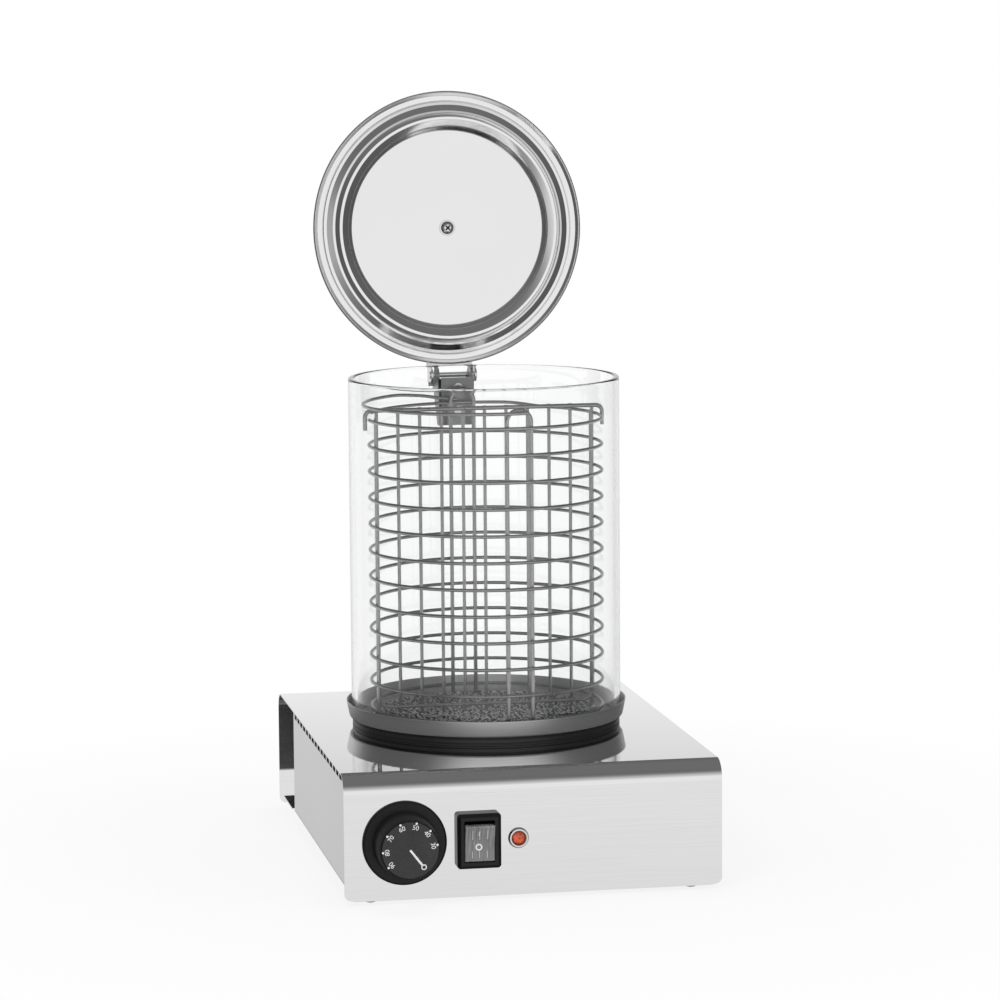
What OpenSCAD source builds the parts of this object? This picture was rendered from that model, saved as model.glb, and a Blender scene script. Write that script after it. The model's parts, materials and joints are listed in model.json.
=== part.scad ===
// Table-top hot dog steamer: a folded sheet housing with a water pan and heater,
// a glass cylinder with a hinged lid, and a divided wire basket inside it.
// Millimetres, +Z up, front towards -Y. The origin is below the middle of the
// whole object, on the surface that it stands on.

/* [Housing] */
// Width across the front panel
base_w = 270; // [250:1:320]
// Depth of the cover sheet, front face to rear face
cover_d = 351; // [340:1:420]
// Height of the cover sheet
cover_h = 88.5; // [84:0.5:120]
// Thickness of the cover sheet
sheet = 1; // [0.8:0.1:2]
// Outside radius of the cover's long bends
bend_r = 13.5; // [4:0.5:14]
// Radius of the cover's lower corners
corner_r = 5; // [2:0.5:8]
// Depth of the closed chassis behind the front face
chassis_d = 269; // [268:1:310]
// Thickness of the chassis sheet
chassis_t = 1; // [0.8:0.1:2]
// Step from the cover's side edge to the side panel
side_inset = 1; // [0:0.5:4]
// Height of the chassis floor above the cover's lower edge
floor_rise = 10; // [8:0.5:14]
// Depth of the folded lips that carry the feet
lip_d = 26; // [20:1:34]
// Gap between a lip's end and the cover's side edge
lip_inset = 6.5; // [4:0.5:12]
// How far the lips' bend hangs below the panels' lower edge
lip_drop = 0.6; // [0:0.1:0.6]
// Distance from the front face to the first vent notch
vent_first = 15; // [14:0.5:22]
// Distance between two vent notches
vent_pitch = 15.7; // [13:0.1:16]
// Length of a vent notch
vent_len = 11.5; // [4:0.5:12]
// Height of a vent notch
vent_h = 5; // [2:0.5:6]

/* [Feet] */
// Height of a foot below the lip
foot_h = 3.2; // [2.4:0.2:12]
// Diameter of a foot
foot_d = 9; // [8:0.5:18]
// Distance from the housing's side to a foot
foot_inset = 20; // [18:0.5:34]
// Distance from the front or rear face to a foot
foot_y = 13; // [11:0.5:14]

/* [Controls] */
// Height of the controls' centre line above the panel's lower edge
control_rise = 40; // [38:0.5:46]
// Distance from the housing's left side to the dial
dial_in = 42.5; // [39:0.5:47]
// Distance from the dial to the switch
dial_to_switch = 51.9; // [50.5:0.1:54]
// Distance from the switch to the pilot lamp
switch_to_lamp = 28.9; // [26.5:0.1:50]
// How far the dial stands out of the front panel
dial_out = 26; // [18:0.5:32]
// Diameter of the fixed dial plate
dial_plate_d = 59.6; // [52:0.2:62]
// Thickness of the fixed dial plate
dial_plate_t = 2.5; // [1.5:0.1:3.5]
// Diameter of the turning knob at its face
dial_knob_d = 41.6; // [30:0.2:46]
// Diameter of the control shaft
shaft_d = 6; // [4:0.5:8]
// Turn of the dial from this pose to its 0 mark
dial_turn_to_zero = 142.3; // [100:0.1:170]
// Turn of the dial from this pose to its 90 mark
dial_turn_to_full = 126.8; // [90:0.1:150]
// Width of the switch bezel
switch_w = 31.2; // [29:0.1:34]
// Height of the switch bezel
switch_h = 39; // [37:0.5:42]
// How far the switch bezel stands out
switch_out = 8; // [6:0.5:10]
// Width of the rocker
rocker_w = 20.6; // [14:0.1:21.4]
// Height of the rocker
rocker_h = 26; // [20:0.5:26.5]
// Full throw of the rocker in degrees
rocker_throw = 16; // [8:1:18]
// Diameter of the lamp's chrome ring
lamp_d = 14.8; // [13:0.1:18]
// Diameter of the lamp's lens
lens_d = 10.6; // [7:0.1:11.2]

/* [Pan] */
// Distance from the front face to the glass axis
glass_setback = 186.5; // [184:0.5:187]
// Height of the rubber ring between pan and cover
gasket_h = 6.5; // [4:0.5:10]
// Width of the rubber ring from its inside to its outside
gasket_w = 9.5; // [8:0.5:10]
// Step from the pan's lip in to the rubber ring
gasket_step = 2.1; // [1:0.1:3]
// Thickness of the pan sheet
pan_t = 1; // [0.8:0.1:1.5]
// Step from the glass out to the foot of the pan's lip
lip_play = 1.6; // [1.6:0.1:2.4]
// How far the pan's lip flares outwards
lip_flare = 2.4; // [1:0.1:3]
// Height of the pan's lip
lip_h = 11; // [6:0.5:14]
// Width of the flat land between the water well and the rubber ring
well_land = 11; // [10.5:0.5:16]
// Depth of the water well below the pan's rim floor
well_d = 53; // [45:0.5:56]
// Step from the rubber ring in to the pan's studs
stud_inset = 4.5; // [3.5:0.5:5]
// Diameter of the studs that hold the pan
stud_d = 4; // [3:0.5:5]
// How far the sieve plate rests on the pan's land
sieve_land = 6.5; // [3:0.5:13]
// Thickness of the sieve plate
sieve_t = 1.2; // [0.8:0.1:2]
// Half width of a diamond hole in the sieve
mesh_a = 6.6; // [4:0.1:7]
// Half height of a diamond hole in the sieve
mesh_b = 3.6; // [2:0.1:4]
// Width of the strands between the holes
mesh_strand = 2.4; // [1.6:0.1:4]

/* [Heater] */
// Radius of the heater's ring
element_r = 44; // [38:1:46]
// Diameter of the heater's tube
element_d = 8.4; // [6:0.2:9]
// Radius of the heat spreader plate
spreader_r = 68; // [66:1:70]
// Thickness of the heat spreader plate
spreader_t = 3; // [2:0.5:4]
// Radius of the clamp plate below the heater
clamp_r = 50; // [48:1:50]
// Thickness of the clamp plate
clamp_t = 2; // [1.5:0.5:3]

/* [Glass] */
// Outside diameter of the glass cylinder
glass_d = 200; // [196:0.5:200]
// Height of the glass cylinder
glass_h = 251; // [240:1:300]
// Wall of the glass
glass_t = 4; // [3:0.5:4]
// Turn of glass and lid about the upright axis
glass_turn = 2; // [-10:0.1:10]
// How far glass and basket lift
lift_travel = 260; // [250:5:320]

/* [Lid] */
// Outside diameter of the lid
lid_d = 208.6; // [207:0.2:212]
// Thickness of the lid sheet
lid_t = 1; // [0.8:0.1:1.4]
// Depth of the lid's outer skirt
skirt_h = 3.3; // [2:0.1:5]
// Inside radius of the bead pressed into the lid
bead_ri = 82.5; // [80:0.5:83]
// Outside radius of the bead
bead_ro = 86.2; // [85:0.2:87]
// Depth of the bead
bead_h = 7.3; // [4:0.1:8]
// Radius of the flat disc inside the bead
disc_r = 74.9; // [70:0.1:76]
// Angle from closed to the open pose shown
lid_open = 92.9; // [80:0.1:100]
// Gap between the closed lid and the glass
lid_gap = 0.3; // [0.2:0.1:1]
// Diameter of the lid's knob
lid_knob_d = 38; // [26:1:46]
// Height of the lid's knob
lid_knob_h = 26; // [20:1:34]

/* [Hinge] */
// Distance from the glass axis to the hinge pin
pin_y = 112; // [111.5:0.5:114]
// Depth of the hinge pin below the glass rim
pin_drop = 8.6; // [8.2:0.1:9]
// Diameter of the hinge pin
pin_d = 4; // [3:0.5:4.5]
// Outside half width of the lid's arm
arm_x = 18; // [17:0.2:22]
// Thickness of the hinge metal
hinge_t = 1.5; // [1:0.1:1.6]
// Height of the bracket on the glass
bracket_h = 38; // [36:1:44]
// Width of the clamping plate inside the glass
inner_w = 25; // [20:1:28]
// Distance from the rim to the upper clamping screw
screw_drop = 17; // [16.5:0.5:18]
// Distance between the two clamping screws
screw_gap = 17; // [14:0.5:19]
// Diameter of the clamping screws
clamp_screw_d = 4; // [3:0.5:5]
// Diameter of the holes in the glass
glass_hole_d = 9; // [8:0.5:11]

/* [Basket] */
// Sideways place of the basket in the glass
basket_x = 1; // [0:0.1:1.5]
// Radius of the basket's rings, to the wire's centre
ring_r = 86; // [84:0.5:86.5]
// Diameter of the ring wire
ring_wire = 2.5; // [2:0.1:2.8]
// Diameter of the upright wire
post_wire = 3; // [2.4:0.1:3.2]
// Height of the highest closed turn above the sieve plate
ring_top = 219.7; // [215:0.1:235]
// Distance between two rings
ring_pitch = 19.45; // [16:0.05:19.5]
// Number of closed rings
ring_count = 11; // [6:1:11]
// Height of the hairpins' arches above the sieve plate
arch_top = 234.3; // [230:0.1:240]
// Distance between the two legs of a hairpin
leg_gap = 18; // [12:0.5:24]
// Direction of the front hairpin
front_pair_turn = -83.5; // [-96:0.5:-80]
// Direction of the rear hairpin
rear_pair_turn = 92; // [84:0.5:96]
// Turn of the two side posts
side_post_turn = 7; // [3:0.5:10]
// Rise of the loose top turn above the highest closed turn
top_turn_rise = 11; // [9:0.5:14]
// How far the loose top turn springs out past the rings
top_turn_play = 4.2; // [2:0.1:4.6]

/* [Divider] */
// Half length of the divider's top bar
bar_half = 89.2; // [89.2:0.1:90]
// Diameter of the top bar
bar_wire = 3.1; // [2.6:0.1:3.2]
// Height of the top bar above the sieve plate
bar_rise = 226.5; // [224:0.5:228]
// Length of the hooks at the bar's ends
hook_len = 14.5; // [8:0.5:20]
// Number of uprights, with the frame's own two
divider_count = 11; // [5:1:13]
// Distance between two uprights
divider_pitch = 16.2; // [13:0.1:16.2]
// Diameter of the divider's uprights
divider_wire = 2.5; // [2:0.1:2.6]
// Height of the divider's bottom bar above the sieve plate
bottom_rise = 5.3; // [4.5:0.1:12]

/* [Hidden] */
$fn = 96;

// Small amounts shared by many pieces
eps = 0.01;
over = 1;            // how far a cutter runs past what it cuts
seat = 0.3;          // play between a piece and its seat on another body
weld = 0.1;          // gap at a weld between two wires
slip = 0.05;         // radial play of a pin or screw in its hole
hole_play = 0.3;     // radial play of a screw in a clearance hole
hex = 6;             // sides of a nut

// Levels
cover_z = foot_h + lip_drop;
control_z = cover_z + control_rise;
cover_top = cover_z + cover_h;
floor_z = cover_z + floor_rise;
rim_z = cover_top + gasket_h;
glass_z = rim_z + pan_t;
sieve_top = glass_z + sieve_t;
rim_top = glass_z + glass_h;
well_z = rim_z - well_d;
spreader_z = well_z - spreader_t;
element_z = spreader_z - element_d / 2 - weld;
clamp_z = element_z - element_d / 2 - weld - clamp_t;
wire_foot = sieve_top + seat;

// Places along the depth, with the whole object centred on the origin
front_y = (dial_out - cover_d) / 2;
rear_y = front_y + cover_d;
chassis_rear = front_y + chassis_d;
glass_y = front_y + glass_setback;
inner_front = front_y + sheet;

// Places across the width
foot_x = base_w / 2 - foot_inset;
dial_x = -base_w / 2 + dial_in;
switch_x = dial_x + dial_to_switch;
lamp_x = switch_x + switch_to_lamp;

// Radii round the glass axis, from the glass inwards
glass_r = glass_d / 2;
glass_ri = glass_r - glass_t;
lip_foot_r = glass_r + lip_play;
lip_top_r = lip_foot_r + lip_flare;
gasket_ro = lip_foot_r - gasket_step;
gasket_ri = gasket_ro - gasket_w;
stud_circle_r = gasket_ri - stud_inset;
well_r = gasket_ri - well_land;
sieve_r = well_r + sieve_land;

// Chassis
side_x = base_w / 2 - side_inset;
flange_w = 12;
flange_hole_step = 105;
lip_w = base_w - 2 * lip_inset;
vent_end = 5;        // least metal behind the last vent notch
vent_bridge = 1.5;   // least metal between two vent notches
vent_count = floor((chassis_d - vent_end - vent_first - vent_len) / vent_pitch) + 1;
tab_w = 8;

// Fasteners
foot_stud_d = 4;
foot_floor = 1.4;    // plastic below a foot's stud
nut_h = 3.2;
thread_past = 1;     // thread that shows past a nut
small_screw_d = 3;

function nut_r(d) = d * 0.95;

// A screw along +Z: head below the origin, shank upwards
module screw(d, len, head_r, head_h) {
    translate([0, 0, -head_h]) cylinder(r = head_r, h = head_h);
    cylinder(d = d, h = len);
}

module nut(d, h) {
    difference() {
        cylinder(r = nut_r(d), h = h, $fn = hex);
        translate([0, 0, -over]) cylinder(d = d + 2 * slip, h = h + 2 * over);
    }
}

// A straight rod between two points on one upright line
module upright(x, y, low, high, d) {
    translate([x, y, low]) cylinder(d = d, h = high - low);
}

module torus(r, d) {
    rotate_extrude() translate([r, 0]) circle(d = d, $fn = 32);
}

// Swept tube along a list of points, with its frame carried from ring to ring
function unit(v) = v / norm(v);
function tangent(p, i) = unit(p[min(i + 1, len(p) - 1)] - p[max(i - 1, 0)]);
function carried(n, t) = unit(n - (n * t) * t);
function side_dirs(p, n, i = 0) =
    i == len(p) ? [] : let (m = carried(n, tangent(p, i))) concat([m], side_dirs(p, m, i + 1));
function loop_points(p, dirs, r, sides) = [
    for (i = [0:len(p) - 1], k = [0:sides - 1])
        let (n = dirs[i], b = cross(tangent(p, i), n), a = 360 * k / sides)
        p[i] + r * (cos(a) * n + sin(a) * b)
];

module swept(p, r, sides, start) {
    last = len(p) - 1;
    walls = [
        for (i = [0:last - 1], k = [0:sides - 1], half = [0, 1])
            let (a = i * sides + k, b = i * sides + (k + 1) % sides)
            half == 0 ? [a, a + sides, b + sides] : [a, b + sides, b]
    ];
    ends = [
        for (k = [1:sides - 2], e = [0, 1])
            e == 0 ? [0, k, k + 1] : [last * sides, last * sides + k + 1, last * sides + k]
    ];
    polyhedron(loop_points(p, side_dirs(p, start), r, sides), concat(walls, ends));
}

// A smooth curve through points chosen by hand
function smooth_at(a, b, c, d, t) =
    0.5 * (2 * b + (c - a) * t + (2 * a - 5 * b + 4 * c - d) * t * t
        + (3 * b - a - 3 * c + d) * t * t * t);
function smooth(p, steps) = [
    for (i = [0:len(p) - 2], k = [0:steps - 1])
        smooth_at(p[max(i - 1, 0)], p[i], p[i + 1], p[min(i + 2, len(p) - 1)], k / steps),
    p[len(p) - 1]
];

// HOUSING

module bend_strip() {
    translate([base_w / 2, 0, 0]) rotate([0, -90, 0])
        rotate_extrude(angle = 90) translate([bend_r - sheet, 0]) square([sheet, base_w]);
}

// One panel with its bend and its folded lip, standing at the front
module cover_leg() {
    translate([-base_w / 2, 0, cover_z]) cube([base_w, sheet, cover_h - bend_r]);
    translate([0, bend_r, cover_top - bend_r]) mirror([0, 1, 0]) bend_strip();
    translate([-lip_w / 2, 0, foot_h]) cube([lip_w, lip_d, sheet]);
}

module corner_cutter() {
    difference() {
        translate([-over, -over, -over]) cube([corner_r + over, sheet + 2 * over, corner_r + over]);
        translate([corner_r, -2 * over, corner_r]) rotate([-90, 0, 0])
            cylinder(r = corner_r, h = sheet + 4 * over);
    }
}

module leg_corner_cutters() {
    for (side = [0, 1]) mirror([side, 0, 0])
        translate([-base_w / 2, 0, cover_z]) corner_cutter();
}

module place_front() { translate([0, front_y, 0]) children(); }
module place_rear() { translate([0, rear_y, 0]) mirror([0, 1, 0]) children(); }
module place_glass() { translate([0, glass_y, 0]) rotate([0, 0, glass_turn]) children(); }

module at_feet() {
    for (side = [-1, 1]) {
        translate([side * foot_x, front_y + foot_y, 0]) children();
        translate([side * foot_x, rear_y - foot_y, 0]) children();
    }
}

module at_front_feet() {
    for (side = [-1, 1]) translate([side * foot_x, front_y + foot_y, 0]) children();
}

module at_studs() {
    for (a = [-90, 30, 150]) translate([0, glass_y, 0]) rotate([0, 0, a])
        translate([stud_circle_r, 0, 0]) children();
}

// Cutters and pieces that point out of the front panel: local +Z is outwards
module at_panel(x) { translate([x, front_y, control_z]) rotate([90, 0, 0]) children(); }

module panel_hole(x, d) {
    at_panel(x) translate([0, 0, -sheet - over]) cylinder(d = d, h = sheet + 2 * over);
}

switch_hole_w = 27;
switch_hole_h = 35;
lamp_hole_d = 12;
dial_screw_gap = 28;

module switch_hole() {
    translate([switch_x - switch_hole_w / 2, front_y - over, control_z - switch_hole_h / 2])
        cube([switch_hole_w, sheet + 2 * over, switch_hole_h]);
}

module housing_cover() {
    color("gainsboro") difference() {
        union() {
            place_front() cover_leg();
            place_rear() cover_leg();
            translate([-base_w / 2, front_y + bend_r, cover_top - sheet])
                cube([base_w, cover_d - 2 * bend_r, sheet]);
        }
        place_front() leg_corner_cutters();
        place_rear() leg_corner_cutters();
        translate([0, glass_y, cover_top - sheet - over])
            cylinder(r = well_r + 2, h = sheet + 2 * over);
        at_studs() translate([0, 0, cover_top - sheet - over])
            cylinder(d = stud_d + 2 * hole_play, h = sheet + 2 * over);
        at_feet() translate([0, 0, foot_h - over])
            cylinder(d = foot_stud_d + 2 * hole_play, h = sheet + 2 * over);
        panel_hole(dial_x, shaft_d + 4);
        for (side = [-1, 1]) panel_hole(dial_x + side * dial_screw_gap / 2, small_screw_d + 2 * hole_play);
        panel_hole(lamp_x, lamp_hole_d);
        switch_hole();
    }
}

module flange_holes(x, play) {
    for (i = [-1, 0, 1])
        translate([x, (inner_front + chassis_rear) / 2 + i * flange_hole_step, floor_z - over])
            cylinder(d = small_screw_d + 2 * play, h = 2 * chassis_t + 2 * over);
}

flange_x = side_x - chassis_t - flange_w / 2;

module base_plate() {
    color("silver") difference() {
        translate([-side_x, inner_front, floor_z])
            cube([2 * side_x, chassis_rear - inner_front, chassis_t]);
        flange_holes(flange_x, hole_play);
        flange_holes(-flange_x, hole_play);
        at_front_feet() translate([0, 0, floor_z - over])
            cylinder(d = foot_stud_d + 2 * hole_play, h = chassis_t + 2 * over);
    }
}

side_low = floor_z + chassis_t;
side_high = cover_top - sheet;

// The right side panel; the left one is its mirror image
module side_panel() {
    difference() {
        union() {
            translate([side_x - chassis_t, inner_front, side_low])
                cube([chassis_t, chassis_rear - inner_front, side_high - side_low]);
            translate([side_x - chassis_t - flange_w, inner_front, side_low])
                cube([flange_w + eps, chassis_rear - inner_front - flange_w, chassis_t]);
            for (y = [inner_front + bend_r, chassis_rear - tab_w - chassis_t])
                translate([side_x - chassis_t - flange_w, y, side_high - chassis_t])
                    cube([flange_w + eps, tab_w, chassis_t]);
        }
        for (i = [0:vent_count - 1])
            translate([side_x - chassis_t - over, front_y + vent_first + i * vent_pitch, side_high - vent_h])
                cube([chassis_t + 2 * over, min(vent_len, vent_pitch - vent_bridge), vent_h + over]);
        // the cover's front bend takes the upper front corner
        translate([side_x - chassis_t - over, inner_front - over, side_high - bend_r + sheet])
            difference() {
                cube([chassis_t + 2 * over, bend_r - sheet + over, bend_r]);
                translate([-over, bend_r - sheet + over, 0]) rotate([0, 90, 0])
                    cylinder(r = bend_r - sheet, h = chassis_t + 4 * over);
            }
        flange_holes(flange_x, slip);
    }
}

module side_panel_right() { color("gainsboro") side_panel(); }
module side_panel_left() { color("gainsboro") mirror([1, 0, 0]) side_panel(); }

cord_in = 40;        // from the housing's left side to the gland and the terminal block
gland_x = -base_w / 2 + cord_in;
gland_z = control_z;
gland_d = 16;

module rear_wall() {
    wall_w = 2 * (side_x - chassis_t);
    color("silver") difference() {
        union() {
            translate([-wall_w / 2, chassis_rear - chassis_t, side_low])
                cube([wall_w, chassis_t, side_high - side_low]);
            translate([-wall_w / 2, chassis_rear - eps, side_high - chassis_t])
                cube([wall_w, flange_w, chassis_t]);
        }
        translate([gland_x, chassis_rear - chassis_t - over, gland_z]) rotate([-90, 0, 0])
            cylinder(d = gland_d + 2 * hole_play, h = chassis_t + 2 * over);
    }
}

// Domed glides, each with a blind hole for its stud
module feet() {
    r = foot_d / 2;
    color("lightgray") at_feet() difference() {
        rotate_extrude() polygon([
            [0, 0], [r * 0.5, 0], [r * 0.8, foot_h * 0.12], [r * 0.95, foot_h * 0.32],
            [r, foot_h * 0.6], [r, foot_h], [0, foot_h]
        ]);
        translate([0, 0, foot_floor]) cylinder(d = foot_stud_d + 2 * slip, h = foot_h);
    }
}

module foot_stud(top) {
    low = foot_floor + slip;
    translate([0, 0, low]) cylinder(d = foot_stud_d, h = top + nut_h + thread_past - low);
}

module foot_studs() {
    color("silver") {
        at_front_feet() foot_stud(side_low);
        place_rear() for (side = [-1, 1]) translate([side * foot_x, foot_y, 0]) foot_stud(foot_h + sheet);
    }
}

module foot_nuts() {
    color("silver") {
        at_front_feet() translate([0, 0, side_low]) nut(foot_stud_d, nut_h);
        place_rear() for (side = [-1, 1]) translate([side * foot_x, foot_y, foot_h + sheet])
            nut(foot_stud_d, nut_h);
    }
}

module foot_spacers() {
    color("white") at_front_feet() translate([0, 0, foot_h + sheet]) difference() {
        cylinder(r = 4.5, h = floor_z - foot_h - sheet);
        translate([0, 0, -over]) cylinder(d = foot_stud_d + 2 * slip, h = floor_rise + over);
    }
}

module base_screws() {
    color("silver") for (side = [-1, 1], i = [-1, 0, 1])
        translate([side * flange_x, (inner_front + chassis_rear) / 2 + i * flange_hole_step, floor_z])
            screw(small_screw_d, 2 * chassis_t + 4, 2.8, 1.8);
}

// PAN

module pan_gasket() {
    color("black") translate([0, glass_y, cover_top]) difference() {
        cylinder(r = gasket_ro, h = gasket_h);
        translate([0, 0, -over]) cylinder(r = gasket_ri, h = gasket_h + 2 * over);
    }
}

well_corner = 5;

module water_pan() {
    outer = [
        [0, well_z], [well_r - well_corner, well_z], [well_r, well_z + well_corner], [well_r, rim_z],
        [lip_foot_r - pan_t / 2, rim_z], [lip_foot_r, rim_z + pan_t / 2], [lip_top_r, glass_z + lip_h]
    ];
    inner = [
        [lip_top_r - pan_t, glass_z + lip_h], [lip_foot_r - pan_t, glass_z],
        [well_r - pan_t, glass_z], [well_r - pan_t, well_z + well_corner + pan_t / 2],
        [well_r - well_corner - pan_t / 2, well_z + pan_t], [0, well_z + pan_t]
    ];
    color("silver") translate([0, glass_y, 0]) rotate_extrude() polygon(concat(outer, inner));
}

stud_len = gasket_h + sheet + nut_h + thread_past;

module pan_studs() {
    color("silver") at_studs() translate([0, 0, rim_z - stud_len]) cylinder(d = stud_d, h = stud_len);
}

module pan_nuts() {
    color("silver") at_studs() translate([0, 0, cover_top - sheet - nut_h]) nut(stud_d, nut_h);
}

// Diamonds in staggered rows, as in expanded metal
module sieve_plate() {
    step_x = 2 * mesh_a + mesh_strand * 1.6;
    step_y = mesh_b + mesh_strand * 0.8;
    reach = well_r - mesh_a - 3;
    rows = floor(reach / step_y);
    cols = ceil(reach / step_x);
    color("dimgray") translate([0, glass_y, glass_z]) linear_extrude(sieve_t) difference() {
        circle(r = sieve_r);
        for (j = [-rows:rows], i = [-cols:cols]) {
            x = (i + (j % 2 == 0 ? 0 : 0.5)) * step_x;
            y = j * step_y;
            if (norm([x, y]) < reach)
                translate([x, y]) polygon([[mesh_a, 0], [0, mesh_b], [-mesh_a, 0], [0, -mesh_b]]);
        }
    }
}

// HEATER

element_open = 30;

module heat_spreader() {
    color("silver") translate([0, glass_y, spreader_z]) cylinder(r = spreader_r, h = spreader_t);
}

module heating_element() {
    terminal_len = 14;
    color("dimgray") translate([0, glass_y, element_z]) rotate([0, 0, -90 + element_open / 2]) {
        rotate_extrude(angle = 360 - element_open) translate([element_r, 0]) circle(d = element_d, $fn = 32);
        for (a = [eps, 360 - element_open - eps]) rotate([0, 0, a]) translate([element_r, 0, 0])
            rotate([a > 180 ? -90 : 90, 0, 0]) cylinder(d = element_d / 2, h = terminal_len / 2);
    }
}

module element_clamp() {
    color("silver") translate([0, glass_y, clamp_z]) difference() {
        cylinder(r = clamp_r, h = clamp_t);
        translate([0, 0, -over]) cylinder(d = clamp_stud_d + 2 * slip, h = clamp_t + 2 * over);
    }
}

clamp_stud_d = 6;

module element_stud() {
    color("silver") translate([0, glass_y, clamp_z - nut_h - 4])
        cylinder(d = clamp_stud_d, h = spreader_z - clamp_z + nut_h + 4);
}

module element_nut() {
    color("silver") translate([0, glass_y, clamp_z - nut_h]) nut(clamp_stud_d, nut_h);
}

cutout_d = 15;

module safety_cutout() {
    color("black") translate([0, glass_y, 0]) rotate([0, 0, 200])
        translate([spreader_r - cutout_d / 2 - 1, 0, spreader_z - 10]) {
            cylinder(d = cutout_d, h = 10);
            for (side = [-1, 1]) translate([-0.4, side * 4 - 3, -7]) cube([0.8, 6, 7 + eps]);
        }
}

// CONTROLS

body_w = 40;
body_d = 30;
bush_len = 12;

module thermostat_body() {
    color("dimgray") difference() {
        union() {
            translate([dial_x - body_w / 2, inner_front, control_z - body_w / 2 + 4])
                cube([body_w, body_d, body_w - 8]);
            for (i = [-1, 0, 1]) translate([dial_x + i * 10 - 3, inner_front + body_d - eps, control_z + 8])
                cube([6, 8, 0.8]);
        }
        translate([dial_x, inner_front - over, control_z]) rotate([-90, 0, 0])
            cylinder(d = shaft_d + 2 * slip, h = bush_len + over);
        for (side = [-1, 1])
            translate([dial_x + side * dial_screw_gap / 2, inner_front - over, control_z])
                rotate([-90, 0, 0]) cylinder(d = small_screw_d + 2 * slip, h = over + 6);
    }
}

panel_head_h = 1.6;

module thermostat_screws() {
    color("silver") for (side = [-1, 1]) at_panel(dial_x + side * dial_screw_gap / 2)
        mirror([0, 0, 1]) screw(small_screw_d, sheet + 6, 2.8, panel_head_h);
}

bulb_d = 6;
bulb_len = 70;
bulb_rise = 66;      // height of the bulb above the panel's lower edge
capillary_d = 2;

bulb_y = glass_y - well_r - bulb_d / 2 - seat;
bulb_z = cover_z + bulb_rise;

// The capillary leaves the bulb's left end, falls forwards and enters the thermostat's back
module thermostat_bulb() {
    leave = [-bulb_len / 2, bulb_y, bulb_z];
    enter = [dial_x, inner_front + body_d, control_z - body_w / 5];
    route = [
        leave + [over, 0, 0], leave - [8, 0, 0], leave - [22, 4, 6], leave - [37, 10, 12],
        leave - [51, 20, 24], enter + [0, 28, 2], enter + [0, 14, 0], enter
    ];
    color("silver") {
        translate(leave) rotate([0, 90, 0]) cylinder(d = bulb_d, h = bulb_len);
        swept(smooth(route, 5), capillary_d / 2, 8, [0, 0, 1]);
    }
}

// Straps that hold the bulb in front of the well
module bulb_clips() {
    color("silver") for (side = [-1, 1]) translate([side * 12, bulb_y, bulb_z]) rotate([0, 90, 0])
        difference() {
            translate([0, 0, -3]) union() {
                cylinder(d = bulb_d + 2.2, h = 6);
                translate([-bulb_d / 2 - 1.1, 0, 0]) cube([bulb_d + 2.2, bulb_d / 2 + 0.2, 6]);
            }
            translate([0, 0, -4]) cylinder(d = bulb_d + 2 * slip, h = 8);
            translate([-bulb_d / 2 - slip, 0, -4]) cube([bulb_d + 2 * slip, bulb_d, 8]);
        }
}

module dial_plate() {
    notch = 1.6;
    color([0.12, 0.12, 0.13]) at_panel(dial_x) difference() {
        rotate_extrude() polygon([
            [shaft_d / 2 + 2.2, 0], [dial_plate_d / 2, 0], [dial_plate_d / 2, dial_plate_t * 0.5],
            [dial_plate_d / 2 - dial_plate_t * 0.6, dial_plate_t], [shaft_d / 2 + 2.2, dial_plate_t]
        ]);
        translate([-notch / 2, dial_plate_d / 2 - 3, dial_plate_t - 0.6]) cube([notch, 4, over + 0.6]);
        for (side = [-1, 1]) translate([side * dial_screw_gap / 2, 0, -over])
            cylinder(r = 2.8 + hole_play, h = panel_head_h + slip + over);
    }
}

knob_foot = dial_plate_t + seat;
knob_draft = 2.2;
shaft_grip = 12;

module dial_knob() {
    r = dial_knob_d / 2;
    color([0.12, 0.12, 0.13]) at_panel(dial_x) difference() {
        rotate_extrude() polygon([
            [0, knob_foot], [r + knob_draft, knob_foot],
            [r, dial_out - 0.8], [r - 0.8, dial_out], [0, dial_out]
        ]);
        translate([0, 0, knob_foot - over]) cylinder(d = shaft_d + 2 * slip, h = shaft_grip + over);
        translate([0, 0, knob_foot - over]) difference() {
            cylinder(r = r - 2.4, h = shaft_grip - 4 + over);
            translate([0, 0, -over]) cylinder(r = shaft_d / 2 + 3, h = shaft_grip + 2 * over);
        }
    }
}

module dial_shaft() {
    color("silver") at_panel(dial_x) translate([0, 0, -sheet - bush_len + 1])
        cylinder(d = shaft_d, h = sheet + bush_len - 1 + knob_foot + shaft_grip - 1);
}

window_play = 0.5;
switch_body_d = 34;
bezel_corner = 2.5;
bezel_bevel = 2.4;
trunnion_d = 3;
trunnion_len = 1.5;
window_depth = 9;

// One layer of the bezel, with rounded corners
module bezel_layer(low, high, inset) {
    for (i = [-1, 1], j = [-1, 1])
        translate([i * (switch_w / 2 - bezel_corner), j * (switch_h / 2 - bezel_corner), low])
            cylinder(r = bezel_corner - inset, h = high - low, $fn = 32);
}

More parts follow.
